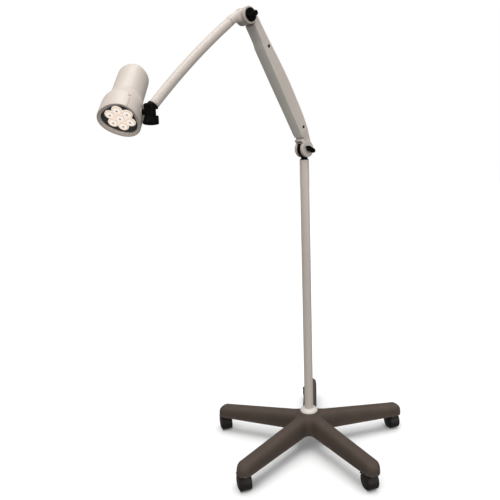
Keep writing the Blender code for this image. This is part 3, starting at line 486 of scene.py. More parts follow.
def star_skin(bm, inset, bottom, drop, steps=12):
    """The star's arched skin. Returns the points of its lower edge, leg by leg."""
    edges = []
    for leg in range(LEGS):
        heading = turned_by(FIRST_LEG + 2 * math.pi * leg / LEGS, "Z")
        for side in (1, -1):
            rows = []
            for spot, spine in half_outline():
                row = []
                out = spot + (spine - spot).normalized() * inset
                for k in range(steps + 1):
                    turn = math.pi / 2 * k / steps
                    across = math.cos(turn) ** 0.55 if k < steps else 0.0
                    rise = math.sin(turn) ** 0.55
                    flat = spine + (out - spine) * across
                    top = HUB_TOP - 0.002 - 0.0246 * spine.x / LEG_REACH - drop
                    sag = 0.18 * (top - bottom) * smooth_step(0.0, LEG_HALF_WIDTH, flat.x - CASTOR_AXIS)
                    row.append(Vector((flat.x, flat.y * side, bottom + (top - bottom) * rise - sag * rise)))
                rows.append([bm.verts.new(heading @ p) for p in row])
            for first, second in zip(rows, rows[1:]):
                for k in range(steps):
                    bm.faces.new((first[k], second[k], second[k + 1], first[k + 1]))
            edges.append([row[0] for row in rows])
    return edges


def star_mesh():
    """A hollow five-legged star with an open underside."""
    bm = bmesh.new()
    outer = star_skin(bm, 0.0, LEG_BOTTOM, 0.0)
    inner = star_skin(bm, LEG_WALL, LEG_BOTTOM, LEG_WALL)
    for first, second in zip(outer, inner):
        for i in range(len(first) - 1):
            bm.faces.new((first[i], first[i + 1], second[i + 1], second[i]))
    return finish_mesh(bm, "star")


def build_base():
    star = star_mesh()
    shoulder = rounded([(0.0400, 0.0860), (0.0400, 0.1020), (0.0330, 0.1118), (0.0300, HUB_TOP)], 0.004)
    star = combined(star, ("UNION", turned(shoulder, 96)))
    bore = turned([(POLE_RADIUS + CLEAR, 0.05), (POLE_RADIUS + CLEAR, 0.13)], 64)
    star = combined(star, ("DIFFERENCE", bore))
    piece("base_star_moulding", star, POLE, BASE, "base", ["base_star"], 45)
    seats, ribs = [], []
    for leg in range(LEGS):
        turn = FIRST_LEG + 2 * math.pi * leg / LEGS
        tip = Matrix.Translation((CASTOR_AXIS * math.cos(turn), CASTOR_AXIS * math.sin(turn), 0))
        tip = tip @ turned_by(turn, "Z")
        seat = [(0.0054, LEG_BOTTOM - 0.0016), (0.0190, LEG_BOTTOM - 0.0016), (0.0197, LEG_BOTTOM - 0.0008)]
        seat += [
            (0.0197, LEG_BOTTOM + 0.0040), (0.0090, LEG_BOTTOM + 0.0050), (0.0090, 0.0800), (0.0054, 0.0800)
        ]
        seats.append(moved(turned_ring(seat, 48), tip))
        web = block((-0.190, -0.0011, LEG_BOTTOM + 0.0030), (-0.0195, 0.0011, 0.0860))
        ribs.append(moved(web, tip))
    piece("base_castor_seats", joined(seats), POLE, BASE, "base")
    piece("base_ribs", joined(ribs), POLE, BASE, "base")

    well = [
        (0.0062, LEG_BOTTOM + 0.0015), (0.0395, LEG_BOTTOM + 0.0015), (0.0395, 0.0687), (0.0062, 0.0687)
    ]
    plate = bevelled(turned_ring(well, 72), 0.0008)
    piece("ballast_disc", plate, POLE, IRON, "base", ["ballast_plate"])
    hexagon = turned([(0.0100, 0.0495), (0.0105, 0.0501), (0.0105, 0.0556)], 6)
    shank = turned([(0.0059, 0.0556), (0.0059, 0.0980), (0.0050, 0.0990)], 40)
    flange = [(0.0040, 0.0549), (0.0118, 0.0549), (0.0118, 0.0560), (0.0040, 0.0560)]
    flange = turned(rounded(flange, 0.0003), 56)
    bolt = joined([bevelled(hexagon, 0.0005), shank, flange])
    piece("pole_bolt_hexagon", bolt, POLE, STEEL, "base", ["pole_bolt"])
    inner = POLE_RADIUS - POLE_WALL
    plug = [
        (0.0063, POLE_FOOT + CLEAR), (inner - CLEAR, POLE_FOOT + CLEAR), (inner - CLEAR, 0.1040),
        (0.0063, 0.1040),
    ]
    piece("pole_foot_plug", turned_ring(plug, 56), POLE, STEEL, "base", ["pole_plug"])

    tube = [(inner, POLE_FOOT), (POLE_RADIUS, POLE_FOOT), (POLE_RADIUS, 0.3), (POLE_RADIUS, 0.6)]
    tube += [(POLE_RADIUS, POLE_TOP - 0.0010), (POLE_RADIUS - 0.0003, POLE_TOP - 0.0003)]
    tube += [(POLE_RADIUS - 0.0010, POLE_TOP), (inner, POLE_TOP)]
    side = math.radians(-20)
    out = turned_by(side, "Z") @ turned_by(math.radians(90), "Y")
    spot = Matrix.Translation((POLE_RADIUS * math.cos(side), POLE_RADIUS * math.sin(side), SCREW_HEIGHT))
    screw_hole = moved(turned([(0.0025, -0.0040), (0.0025, 0.0040)], 32), spot @ out)
    back = Matrix.Translation((0, POLE_RADIUS, INLET_HEIGHT)) @ turned_by(math.radians(90), "Z")
    back = back @ turned_by(math.radians(90), "Y")
    inlet_hole = moved(turned([(0.0053, -0.006), (0.0053, 0.006)], 40), back)
    tube_mesh = combined(turned_ring(tube, 96), ("DIFFERENCE", screw_hole), ("DIFFERENCE", inlet_hole))
    piece("pole_tube_painted", tube_mesh, POLE, POLE_PAINT, "base", ["pole_tube"])
    screw = [(0.0014, -0.0050), (0.0020, -0.0048), (0.0020, 0.0002), (0.0014, 0.0004)]
    screw = turned(rounded(screw, 0.0003), 32)
    socket = turned([(0.0009, -0.0012), (0.0009, 0.0020)], 6)
    screw = combined(screw, ("DIFFERENCE", socket))
    sunk = POLE_RADIUS - 0.0004
    inset = POLE @ Matrix.Translation((sunk * math.cos(side), sunk * math.sin(side), SCREW_HEIGHT)) @ out
    piece("pole_side_screw", screw, inset, DARK_STEEL, "base", ["pole_grub_screw"])

    grommet = [(0.0029, -0.0050), (0.0050, -0.0050), (0.0050, 0.0011)]
    grommet += [(0.0074, 0.0014), (0.0074, 0.0050), (0.0058, 0.0062)]
    for i in range(4):
        z = 0.0068 + 0.0020 * i
        wide, slim = 0.0056 - 0.0003 * i, 0.0047 - 0.0003 * i
        grommet += [(wide, z), (wide, z + 0.0011), (slim, z + 0.0013), (slim, z + 0.0019)]
    grommet += [(0.0042, 0.0150), (0.0029, 0.0150)]
    grommet = turned_ring(grommet, 48)
    piece("cable_grommet", grommet, POLE @ back, BLACK, "base", ["power_inlet"])

    low = HUB_TOP + CLEAR
    collar = [(POLE_RADIUS + CLEAR, low), (0.0268, low), (0.0275, low + 0.0017), (0.0270, low + 0.0040)]
    collar += [(0.0248, low + 0.0074), (0.0212, low + 0.0100), (0.0172, low + 0.0116)]
    collar += [(0.0158, low + 0.0119), (POLE_RADIUS + CLEAR, low + 0.0119)]
    collar = turned_ring(rounded(collar, 0.0016), 96)
    piece("collar_cap", collar, POLE, COLLAR, "base", ["base_collar"])
    bush = [
        (0.0083, POLE_TOP - 0.045), (inner - CLEAR, POLE_TOP - 0.045), (inner - CLEAR, POLE_TOP + CLEAR)
    ]
    bush += [(0.0128, POLE_TOP + CLEAR), (0.0128, POLE_TOP + 0.0018)]
    bush += [(0.0120, POLE_TOP + 0.0026), (0.0083, POLE_TOP + 0.0026)]
    piece("pole_bush_ring", turned_ring(bush, 64), POLE, BLACK, "base", ["pole_top_bush"])


# ---------------------------------------------------------------- castors


def castor_meshes():
    r, w = WHEEL_RADIUS, WHEEL_WIDTH
    tread = [(0.0200, 0.0012), (r - 0.0018, 0.0004), (r - 0.0004, 0.0016), (r, 0.0050)]
    tread += [(r - 0.0002, w * 0.56), (r - 0.0016, w * 0.74), (r - 0.0030, w * 0.86), (0.0200, w * 0.80)]
    disc = [(0.0034, 0.0010), (0.0197, 0.0014), (0.0197, w * 0.84), (0.0190, w * 0.93), (0.0176, w * 0.95)]
    disc += [(0.0164, w * 0.86), (0.0150, w * 0.84), (0.0136, w * 0.90), (0.0080, w * 0.93)]
    disc += [(0.0034, w * 0.93)]
    wheel = turned_ring(disc, 72)
    cap_mesh = turned([(0.0060, w * 0.70), (0.0062, w * 0.94), (0.0050, w * 0.985)], 40)
    tread_mesh = turned_ring(rounded(tread, 0.0008, 3), 72)
    half = WHEEL_INSIDE - CLEAR
    web = arc(r - 0.0030, -70, 232, 60, (0.0, r))
    cover = arc(r + 0.0026, 20, 232, 52, (0.0, r)) + arc(r + 0.0009, 232, 20, 52, (0.0, r))
    reach = WHEEL_INSIDE + w * 0.86
    back = Matrix.Translation((-CASTOR_TRAIL, 0, 0))
    top = LEG_BOTTOM - 0.0016 - CLEAR
    boss = moved(turned(rounded([(0.0125, 0.0490), (0.0125, top), (0.0080, top)], 0.0007), 56), back)
    neck = extruded([(-0.022, 0.034), (-0.002, 0.030), (-0.002, 0.0505), (-0.022, 0.0505)], -half, half)
    bore = moved(turned([(0.0053, 0.0365), (0.0053, 0.0700)], 40), back)
    hood = combined(
        extruded(web, -half, half),
        ("UNION", bevelled(extruded(cover, -reach, reach), 0.0004)),
        ("UNION", bevelled(neck, 0.0006)),
        ("UNION", boss),
        ("DIFFERENCE", bore),
    )
    return about_y(wheel), about_y(cap_mesh), about_y(tread_mesh), hood


def build_castors():
    wheel, cap, tread, hood = castor_meshes()
    end = LEG_BOTTOM + 0.0240
    stem = rounded([(0.0030, 0.0370), (0.0050, 0.0372), (0.0050, end - 0.0004), (0.0030, end)], 0.0005)
    stem = turned(stem, 40)
    for index in range(LEGS):
        turn = FIRST_LEG + 2 * math.pi * index / LEGS
        name = f"castor_{index + 1}"
        tip = Matrix.Translation((CASTOR_AXIS * math.cos(turn), CASTOR_AXIS * math.sin(turn), 0))
        swivel = POLE @ tip @ turned_by(CASTOR_HEADING, "Z")
        trail = swivel @ Matrix.Translation((CASTOR_TRAIL, 0, 0))
        piece(f"{name}_fork_hood", hood, trail, CASTOR, name, [f"{name}_hood"])
        piece(f"{name}_pin", stem, swivel, STEEL, "base", [f"{name}_stem"])
        for side, across, flip in (("left", WHEEL_INSIDE, 0.0), ("right", -WHEEL_INSIDE, math.pi)):
            hub = trail @ Matrix.Translation((0, across, WHEEL_RADIUS)) @ turned_by(flip, "Z")
            body = f"{name}_{side}"
            piece(f"{body}_tyre", tread, hub, TREAD, body, [f"{name}_wheel_{side}"])
            piece(f"{body}_disc", wheel, hub, CASTOR, body)
            piece(f"{body}_cap", cap, hub, CASTOR, body)


# ---------------------------------------------------------------- lower arm


def arm_under(s):
    return 0.0030 * smooth_step(0.302, 0.318, s) - 0.0020


def arm_back(s):
    left = 1 - min(s / 0.12, 1.0)
    return 0.0390 - 0.0150 * left**2 - 0.0135 * smooth_step(0.17, 0.40, s)


def arm_half_width(s):
    wide = FORK_WIDTH / 2 + 0.0023 * smooth_step(0.022, 0.052, s)
    return wide + (ELBOW_WIDTH / 2 - FORK_WIDTH / 2 - 0.0023) * smooth_step(0.10, 0.22, s)


def arm_ring(s, low, high, half, edge, steps=5):
    """A section across the arm with a rounded chamfer along both edges of its back."""
    side = [(half, low), (half, high - 1.2 * edge), (half - edge, high), (0.0, high)]
    side = rounded(side, edge * 0.7, steps)
    ring = [Vector((s, y, z)) for y, z in side[:-1]]
    return ring + [Vector((s, -y, z)) for y, z in reversed(side[:-1])]


def arm_places(first, last, count):
    span = ARM_LENGTH - 0.0052
    return [0.0012 + span * (first + (last - first) * i / count) / 20 for i in range(count + 1)]


def build_arm():
    skirt = 0.0035
    rings = [
        arm_ring(s, arm_under(s) + skirt, arm_back(s), arm_half_width(s), 0.0045)
        for s in arm_places(0, 20, 60)
    ]
    heel_half = FORK_WIDTH / 2 - CLEAR
    heel = extruded([(0.0, 0.0)] + arc(0.0335, -16, 20, 20), -heel_half, heel_half)
    fork_face, elbow_face = FORK_WIDTH / 2 + FACE_RISE, ELBOW_WIDTH / 2 + FACE_RISE
    fork = disc_y(FORK_RADIUS, -fork_face, fork_face, 0.0012, 96)
    shift = Matrix.Translation((ARM_LENGTH, 0, 0))
    elbow = moved(disc_y(ELBOW_RADIUS, -elbow_face, elbow_face, 0.0012, 96), shift)
    inside = [
        arm_ring(s, arm_under(s) - 0.004, arm_back(s) - 0.0028, arm_half_width(s) - 0.0028, 0.0035)
        for s in arm_places(3, 17, 30)
    ]
    fork_slot = extruded(arc(0.0275, 0, 355, 71), -FORK_GAP / 2, FORK_GAP / 2)
    elbow_slot = moved(extruded(arc(0.0245, 0, 355, 71), -ELBOW_GAP / 2, ELBOW_GAP / 2), shift)
    hole = disc_y(BOLT_HOLE, -0.03, 0.03, 0.0002, 40)
    shell = combined(
        lofted(rings),
        ("UNION", bevelled(heel, 0.0008)),
        ("UNION", fork),
        ("UNION", elbow),
        ("DIFFERENCE", lofted(inside)),
        ("DIFFERENCE", fork_slot),
        ("DIFFERENCE", elbow_slot),
        ("DIFFERENCE", hole),
        ("DIFFERENCE", moved(hole, shift)),
    )
    reach = FORK_GAP / 2 + 0.0030
    turn = math.radians(-19)
    pin_place = Matrix.Translation((0.0246 * math.cos(turn), 0, 0.0246 * math.sin(turn)))
    pin_hole = moved(disc_y(0.0019, -reach - CLEAR, reach + CLEAR, 0.0001, 24), pin_place)
    shell = combined(shell, ("DIFFERENCE", pin_hole))
    pin = disc_y(0.0016, -reach, reach, 0.0003, 32)
    piece("stop_pin", pin, TILT @ pin_place, STEEL, "lower_arm", ["tilt_stop_pin"])
    for name, s, behind in (("upper", 0.2980, 0.0165), ("lower", 0.0610, 0.0170)):
        face = arm_half_width(s)
        pocket = disc_y(0.0044, -0.0040, 0.0100, 0.0001, 40)
        pocket = moved(pocket, Matrix.Translation((s, face - 0.0030, behind)))
        shell = combined(shell, ("DIFFERENCE", pocket))
        cross = combined(
            disc_y(0.0040, -0.0030, 0.0002, 0.0007, 40),
            ("DIFFERENCE", block((-0.0022, -0.0012, -0.0005), (0.0022, 0.0020, 0.0005))),
            ("DIFFERENCE", block((-0.0005, -0.0012, -0.0022), (0.0005, 0.0020, 0.0022))),
        )
        place = TILT @ Matrix.Translation((s, face - 0.0018, behind))
        nodes = [f"arm_screw_{name}"]
        piece(f"side_screw_{name}", cross, place, DARK_STEEL, "lower_arm", nodes)
    shell = bevelled(shell, 0.0004, 2, 40)
    piece("arm_channel", shell, TILT, PAINT, "lower_arm", ["arm_housing"], 50)

    edge = 0.0006
    lid = []
    for s in arm_places(2, 19, 51):
        half = arm_half_width(s)
        low, high = arm_under(s), arm_under(s) + skirt - CLEAR
        outline = [(half - edge, low), (half, low + edge), (half, high)]
        lid.append([Vector((s, y, z)) for y, z in outline])
        lid[-1] += [Vector((s, -y, z)) for y, z in reversed(outline)]
    room = moved(extruded(arc(0.0270, 0, 355, 71), -ELBOW_GAP / 2, ELBOW_GAP / 2), shift)
    lid = combined(lofted(lid), ("DIFFERENCE", room))
    piece("arm_underside", lid, TILT, GREY, "lower_arm", ["arm_cover"], 60)


# ---------------------------------------------------------------- arm joints and forearm


def bar_outline(back, front, root, tip, steps=16):
    lean = math.degrees(math.asin((tip - root) / (back + front)))
    outline = arc(tip, -90 - lean, 90 + lean, steps, (front, 0.0))
    return outline + arc(root, 90 + lean, 270 - lean, steps, (-back, 0.0))


def pivot_bolt(far_face, end):
    head = [(0.0032, far_face - 0.0045), (0.0064, far_face - 0.0042), (0.0078, far_face - 0.0024)]
    head += [(0.0078, far_face - CLEAR), (0.0038, far_face - CLEAR), (0.0038, end)]
    key = turned([(0.0026, far_face - 0.0060), (0.0026, far_face - 0.0022)], 6)
    return about_y(combined(turned(rounded(head, 0.0006), 48), ("DIFFERENCE", key)))


def washer(outside, low, high):
    return about_y(turned_ring([(0.0043, low), (outside, low), (outside, high), (0.0043, high)], 64))


def build_lower_joint():
    down = POLE_TOP - TILT_HEIGHT
    half = FORK_GAP / 2 - WASHER_ROOM
    spigot = [(0.0070, down - 0.0430), (0.0080, down - 0.0420), (0.0080, down + 0.0029)]
    spigot += [(0.0112, down + 0.0029), (0.0112, down + 0.0040), (0.0088, down + 0.0062)]
    outline = [(-0.0088, down + 0.0056), (0.0088, down + 0.0056), (0.0074, down + 0.012)]
    outline += [(0.0072, -0.010), (-0.0072, -0.010), (-0.0074, down + 0.012)]
    hub = combined(
        turned(spigot, 64),
        ("UNION", bevelled(extruded(outline, -half + 0.0002, half - 0.0002), 0.0010)),
        ("UNION", disc_y(0.0222, -half, half, 0.0010, 96)),
        ("DIFFERENCE", disc_y(BOLT_HOLE, -0.02, 0.02, 0.0001, 40)),
    )
    piece("swivel_knuckle", hub, SWIVEL, BLACK, "hub", ["swivel_hub"])
    low, high = half + CLEAR, FORK_GAP / 2 - CLEAR
    for side, start, end in (("near", low, high), ("far", -high, -low)):
        ring = washer(0.0160, start, end)
        piece(f"fork_washer_{side}", ring, SWIVEL, NYLON, "hub", [f"lower_washer_{side}"])
    face = FORK_WIDTH / 2 + FACE_RISE
    piece("fork_bolt", pivot_bolt(-face, 0.0092), TILT, STEEL, "lower_arm", ["lower_pivot_bolt"])
    core = [(0.0036, 0.0096), (0.0036, face + CLEAR), (0.0062, face + CLEAR), (0.0058, face + 0.0040)]
    bar = extruded(bar_outline(0.0105, 0.0105, 0.0038, 0.0062), face + 0.0035, face + 0.0165)
    grip = moved(bevelled(bar, 0.0016, 4), turned_by(math.radians(-150), "Y"))
    handle = combined(about_y(turned(core, 48)), ("UNION", grip))
    piece("fork_knob", handle, TILT, BLACK, "lower_clamp", ["lower_knob"])


def build_elbow():
    half = ELBOW_GAP / 2 - WASHER_ROOM
    low, high = half + CLEAR, ELBOW_GAP / 2 - CLEAR
    for side, start, end in (("near", low, high), ("far", -high, -low)):
        ring = washer(0.0150, start, end)
        nodes = [f"elbow_washer_{side}"]
        piece(f"elbow_friction_{side}", ring, ELBOW, NYLON, "forearm", nodes)
    face = ELBOW_WIDTH / 2 + FACE_RISE
    bolt = pivot_bolt(-face, 0.0130)
    piece("elbow_bolt", bolt, ELBOW_BOLT, STEEL, "lower_arm", ["elbow_pivot_bolt"])
    body = [(0.0036, 0.0134), (0.0036, face + CLEAR), (0.0162, face + CLEAR), (0.0166, face + 0.0010)]
    body += [(0.0166, face + 0.0034), (0.0156, face + 0.0046), (0.0090, face + 0.0046)]
    bar = extruded(bar_outline(0.0105, 0.0120, 0.0044, 0.0062), face + 0.0030, face + 0.0110)
    grip = moved(bevelled(bar, 0.0014, 4), turned_by(math.radians(-95), "Y"))
    knob = combined(about_y(turned(rounded(body, 0.0006), 80)), ("UNION", grip))
    piece("elbow_clamp_knob", knob, ELBOW_BOLT, BLACK, "elbow_clamp", ["elbow_knob"])


def tube_centre(x):
    return TUBE_RISE - (x - TUBE_CREST) ** 2 / (2 * TUBE_BOW)


def tube_ring(x, radius, count=64):
    lean = math.atan((x - TUBE_CREST) / TUBE_BOW)
    place = Matrix.Translation((x, 0, tube_centre(x))) @ turned_by(lean + math.pi / 2, "Y")
    return [place @ point for point in circle(radius, 0.0, count)]


def build_forearm():
    half = ELBOW_GAP / 2 - WASHER_ROOM
    rings = []
    for step in range(29):
        x = (TUBE_START - 0.002) * step / 28
        blend = smooth_step(0.0, 0.045, x)
        middle = 0.0035 + (tube_centre(TUBE_START) - 0.0035) * blend
        tall = 0.0180 + (TUBE_RADIUS - 0.0180) * blend
        wide = half - 0.0002 + (TUBE_RADIUS - half + 0.0002) * smooth_step(0.020, 0.050, x)
        power = 0.55 + 0.45 * blend
        ring = []
        for i in range(64):
            turn = 2 * math.pi * (i + 0.5) / 64
            across = math.copysign(abs(math.cos(turn)) ** power, math.cos(turn))
            rise = math.copysign(abs(math.sin(turn)) ** power, math.sin(turn))
            ring.append(Vector((x, wide * across, middle + tall * rise)))
        rings.append(ring)
    bore = TUBE_RADIUS - TUBE_WALL - CLEAR
    spigot = lofted([tube_ring(x, bore) for x in (TUBE_START - 0.004, TUBE_START + 0.024)])
    hub = combined(
        disc_y(0.0203, -half, half, 0.0010, 96),
        ("UNION", lofted(rings)),
        ("UNION", spigot),
        ("DIFFERENCE", disc_y(BOLT_HOLE, -0.02, 0.02, 0.0001, 40)),
    )
    piece("forearm_knuckle", hub, ELBOW, PAINT, "forearm", ["forearm_hub"], 50)
    start = TUBE_START - 0.002 + 0.0011
    places = [start + (TUBE_END - start) * i / 40 for i in range(41)]
    outside = [tube_ring(start, TUBE_RADIUS - 0.0003)] + [tube_ring(x, TUBE_RADIUS) for x in places[1:-1]]
    outside += [tube_ring(TUBE_END - 0.0005, TUBE_RADIUS), tube_ring(TUBE_END, TUBE_RADIUS - 0.0005)]
    inside = [tube_ring(x, TUBE_RADIUS - TUBE_WALL) for x in reversed(places)]
    tube = lofted(outside + inside, closed=True)
    piece("forearm_bowed_tube", tube, ELBOW, PAINT, "forearm", ["forearm_tube"], 50)


# ---------------------------------------------------------------- head


def build_head_joint():
    barrel, split = 0.0130, 0.0068
    to_yoke = ELBOW.inverted() @ YOKE
    bore = TUBE_RADIUS - TUBE_WALL - CLEAR
    insert = lofted([tube_ring(x, bore) for x in (TUBE_END - 0.025, TUBE_END + 0.004)])
    sleeve = [(CLEAR, 0.0118), (0.0006, 0.0124), (0.0014, 0.0127), (0.0050, 0.0129), (0.0085, 0.0130)]
    sleeve = lofted([tube_ring(TUBE_END + x, r) for x, r in sleeve])
    cap = [(barrel, split), (barrel, split + 0.0085)]
    cap += [(barrel - 0.0010, split + 0.0106), (barrel - 0.0034, split + 0.0120)]
    socket = combined(
        insert,
        ("UNION", sleeve),
        ("UNION", moved(turned(rounded(cap, 0.0010), 72), to_yoke)),
        ("DIFFERENCE", moved(turned([(0.05, -0.05), (0.05, split)], 48), to_yoke)),
        ("DIFFERENCE", moved(turned([(0.0034, split - 0.002), (0.0034, split + 0.0080)], 32), to_yoke)),
    )
    piece("tube_end_socket", socket, ELBOW, BLACK, "forearm", ["head_socket"])

    floor = -0.0068
    side_on = turned_by(math.radians(90), "Y")
    top = split - CLEAR
    ring = [(0.0034, floor), (barrel - 0.0006, floor), (barrel, floor + 0.0006)]
    ring += [(barrel, top - 0.0005), (barrel - 0.0005, top), (0.0034, top)]
    end = HEAD_OFFSET - BELL_RADIUS + 0.0006
    neck = rounded([(0.0064, 0.0090), (0.0064, end), (0.0030, end)], 0.0003)
    yoke = combined(
        turned_ring(ring, 72),
        ("UNION", moved(turned(neck, 56), side_on)),
        ("DIFFERENCE", moved(turned([(0.0028, 0.0060), (0.0028, 0.0400)], 32), side_on)),
    )
    piece("head_knuckle", yoke, YOKE, BLACK, "yoke", ["head_yoke"])
    screw = turned([(0.0031, floor + 0.0005), (0.0031, split + 0.0075)], 32)
    piece("clamp_screw", screw, YOKE, STEEL, "yoke", ["head_clamp_screw"])
    pin = turned([(0.0025, 0.0064), (0.0025, HEAD_OFFSET - BELL_RADIUS + 0.0060)], 32)
    piece("tilt_pin", pin, YOKE @ side_on, STEEL, "yoke", ["head_tilt_pin"])

    profile = [(0.0040, -0.0286), (0.0130, -0.0276), (0.0166, -0.0258), (0.0174, -0.0236)]
    profile += [(0.0166, -0.0205), (0.0146, -0.0150), (0.0130, -0.0100), (0.0124, floor - CLEAR)]
    outline = bar_outline(-0.0040, 0.0140, 0.0040, 0.0055)
    lobe = [[Vector((x, y, z)) for x, y in outline] for z in (-0.0262, floor - 0.0012)]
    lobe = moved(bevelled(lofted(lobe), 0.0014, 4), turned_by(math.radians(170), "Z"))
    knob = combined(turned(rounded(profile, 0.0020), 80), ("UNION", lobe))
    piece("head_clamp_knob", knob, YOKE, BLACK, "head_clamp", ["head_knob"])


def head_ring(station, radius, wave, count=120):
    points = []
    for i in range(count):
        turn = 2 * math.pi * i / count
        reach = radius + wave * math.cos(3 * turn)
        points.append(Vector((reach * math.cos(turn), reach * math.sin(turn), station)))
    return points


def eased(rows, steps=4):
    """Extra rows between the given ones, on a smooth curve through them."""
    out = []
    for i in range(len(rows) - 1):
        a, b = Vector(rows[i]), Vector(rows[i + 1])
        before = Vector(rows[i - 1]) if i else a
        after = Vector(rows[i + 2]) if i + 2 < len(rows) else b
        for k in range(steps):
            t = k / steps
            first, second = (b - before) * 0.5, (after - a) * 0.5
            h = (2 * t**3 - 3 * t**2 + 1, t**3 - 2 * t**2 + t, -2 * t**3 + 3 * t**2, t**3 - t**2)
            out.append(tuple(a * h[0] + first * h[1] + b * h[2] + second * h[3]))
    return out + [tuple(rows[-1])]


def build_bell():
    wall = SHELL
    floor = LENS_FRONT + 0.0024
    edge = ((0.0003, 0.0024), (0.0, 0.0016), (0.0005, 0.0005))
    rim = [(RIM_START + behind, BELL_RADIUS - inset, RIM_WAVE) for behind, inset in edge]
    side = [
        (RIM_START + 0.0020, BELL_RADIUS, RIM_WAVE),
        (0.0220, BELL_RADIUS, RIM_WAVE * 0.8),
        (0.0400, BELL_RADIUS - 0.0008, RIM_WAVE * 0.5),
        (0.0500, BELL_RADIUS - 0.0040, RIM_WAVE * 0.3),
        (0.0600, BODY_RADIUS + 0.0022, RIM_WAVE * 0.1),
        (BELL_LENGTH - 0.0006, BODY_RADIUS + 0.0004, 0.0),
    ]
    inside = [
        (BELL_LENGTH, BODY_RADIUS, 0.0),
        (BELL_LENGTH, BODY_RADIUS + 0.0004 - wall, 0.0),
        (0.0600, BODY_RADIUS + 0.0004 - wall, 0.0),
        (0.0400, BELL_RADIUS - 0.0008 - wall, RIM_WAVE * 0.5),
        (floor, BELL_RADIUS - wall, RIM_WAVE * 0.8),
        (floor, MOUTH_RADIUS + 0.0010, MOUTH_WAVE),
        (MOUTH_EDGE + 0.0006, MOUTH_RADIUS + 0.0001, MOUTH_WAVE),
        (MOUTH_EDGE, MOUTH_RADIUS + 0.0006, MOUTH_WAVE),
    ]
    bell = lofted([head_ring(*row) for row in rim + eased(side) + inside], closed=True)
    start = HEAD_OFFSET - BELL_RADIUS + 0.0006 + CLEAR
    joint_side = Matrix.Translation((-HEAD_OFFSET, 0, AXIS_STATION)) @ turned_by(math.radians(90), "Y")
    boss = moved(turned(rounded([(0.0085, start), (0.0085, start + 0.0045)], 0.0003), 56), joint_side)
    pin_hole = moved(turned([(0.0028, 0.0), (0.0028, 0.0300)], 32), joint_side)
    bell = combined(bell, ("UNION", boss), ("DIFFERENCE", pin_hole))
    corner = turned_by(GROOVE_TURN, "Z")
    depth = BELL_RADIUS + RIM_WAVE * 0.5 - 0.0010
    outer = BELL_RADIUS + 0.0050
    long_cut = moved(block((depth, -0.0006, RIM_START - 0.0020), (outer, 0.0006, 0.0240)), corner)
    hook = moved(block((depth - 0.0012, -0.0048, 0.0300), (outer, 0.0010, 0.0328)), corner)
    bell = combined(bell, ("DIFFERENCE", long_cut), ("DIFFERENCE", hook))
    piece("bell_shell", bell, LAMP, PAINT, "head", ["head_bell"], 40)


def build_housing():
    wall = SHELL
    rear = HEAD_LENGTH
    spigot = BODY_RADIUS + 0.0004 - wall - CLEAR
    start = [(0.0620, spigot, 0.0), (BELL_LENGTH + CLEAR, spigot, 0.0)]
    start += [(BELL_LENGTH + CLEAR, BODY_RADIUS - 0.0012, BODY_WAVE * 0.4)]
    side = [
        (BELL_LENGTH + CLEAR + 0.0006, BODY_RADIUS - 0.0006, BODY_WAVE * 0.4),
        (rear - 0.0500, BODY_RADIUS - 0.0008, BODY_WAVE),
        (rear - 0.0190, BODY_RADIUS - 0.0012, BODY_WAVE),
        (rear - 0.0125, BODY_RADIUS - 0.0034, BODY_WAVE),
        (rear - 0.0040, BODY_RADIUS - 0.0095, BODY_WAVE * 0.6),
        (rear - 0.0010, BODY_RADIUS - 0.0190, 0.0),
        (rear, 0.0064, 0.0),
    ]
    inside = [
        (rear - wall, 0.0062, 0.0),
        (rear - 0.0010 - wall, BODY_RADIUS - 0.0195, 0.0),
        (rear - 0.0150, BODY_RADIUS - 0.0036 - wall, BODY_WAVE),
        (BELL_LENGTH + 0.0060, BODY_RADIUS - 0.0006 - wall, BODY_WAVE * 0.4),
        (0.0620, spigot - wall, 0.0),
    ]
    shell = lofted([head_ring(*row) for row in start + eased(side, 5) + inside], closed=True)
    piece("rear_housing_shell", shell, LAMP, PAINT, "head", ["head_housing"], 40)

    inner = rear - SHELL
    button = [(0.0080, inner - 0.0080), (0.0080, inner - 0.0030), (0.0057, inner - 0.0030)]
    button += [(0.0057, rear + 0.0016), (0.0050, rear + 0.0026), (0.0030, rear + 0.0024)]
    button = turned(rounded(button, 0.0004), 56)
    piece("rear_switch", button, LAMP, BLACK, "button", ["switch_button"])


def led_places():
    places = [(0.0, 0.0)]
    for i in range(6):
        turn = math.radians(30 + 60 * i)
        places.append((LED_RING * math.cos(turn), LED_RING * math.sin(turn)))
    return places


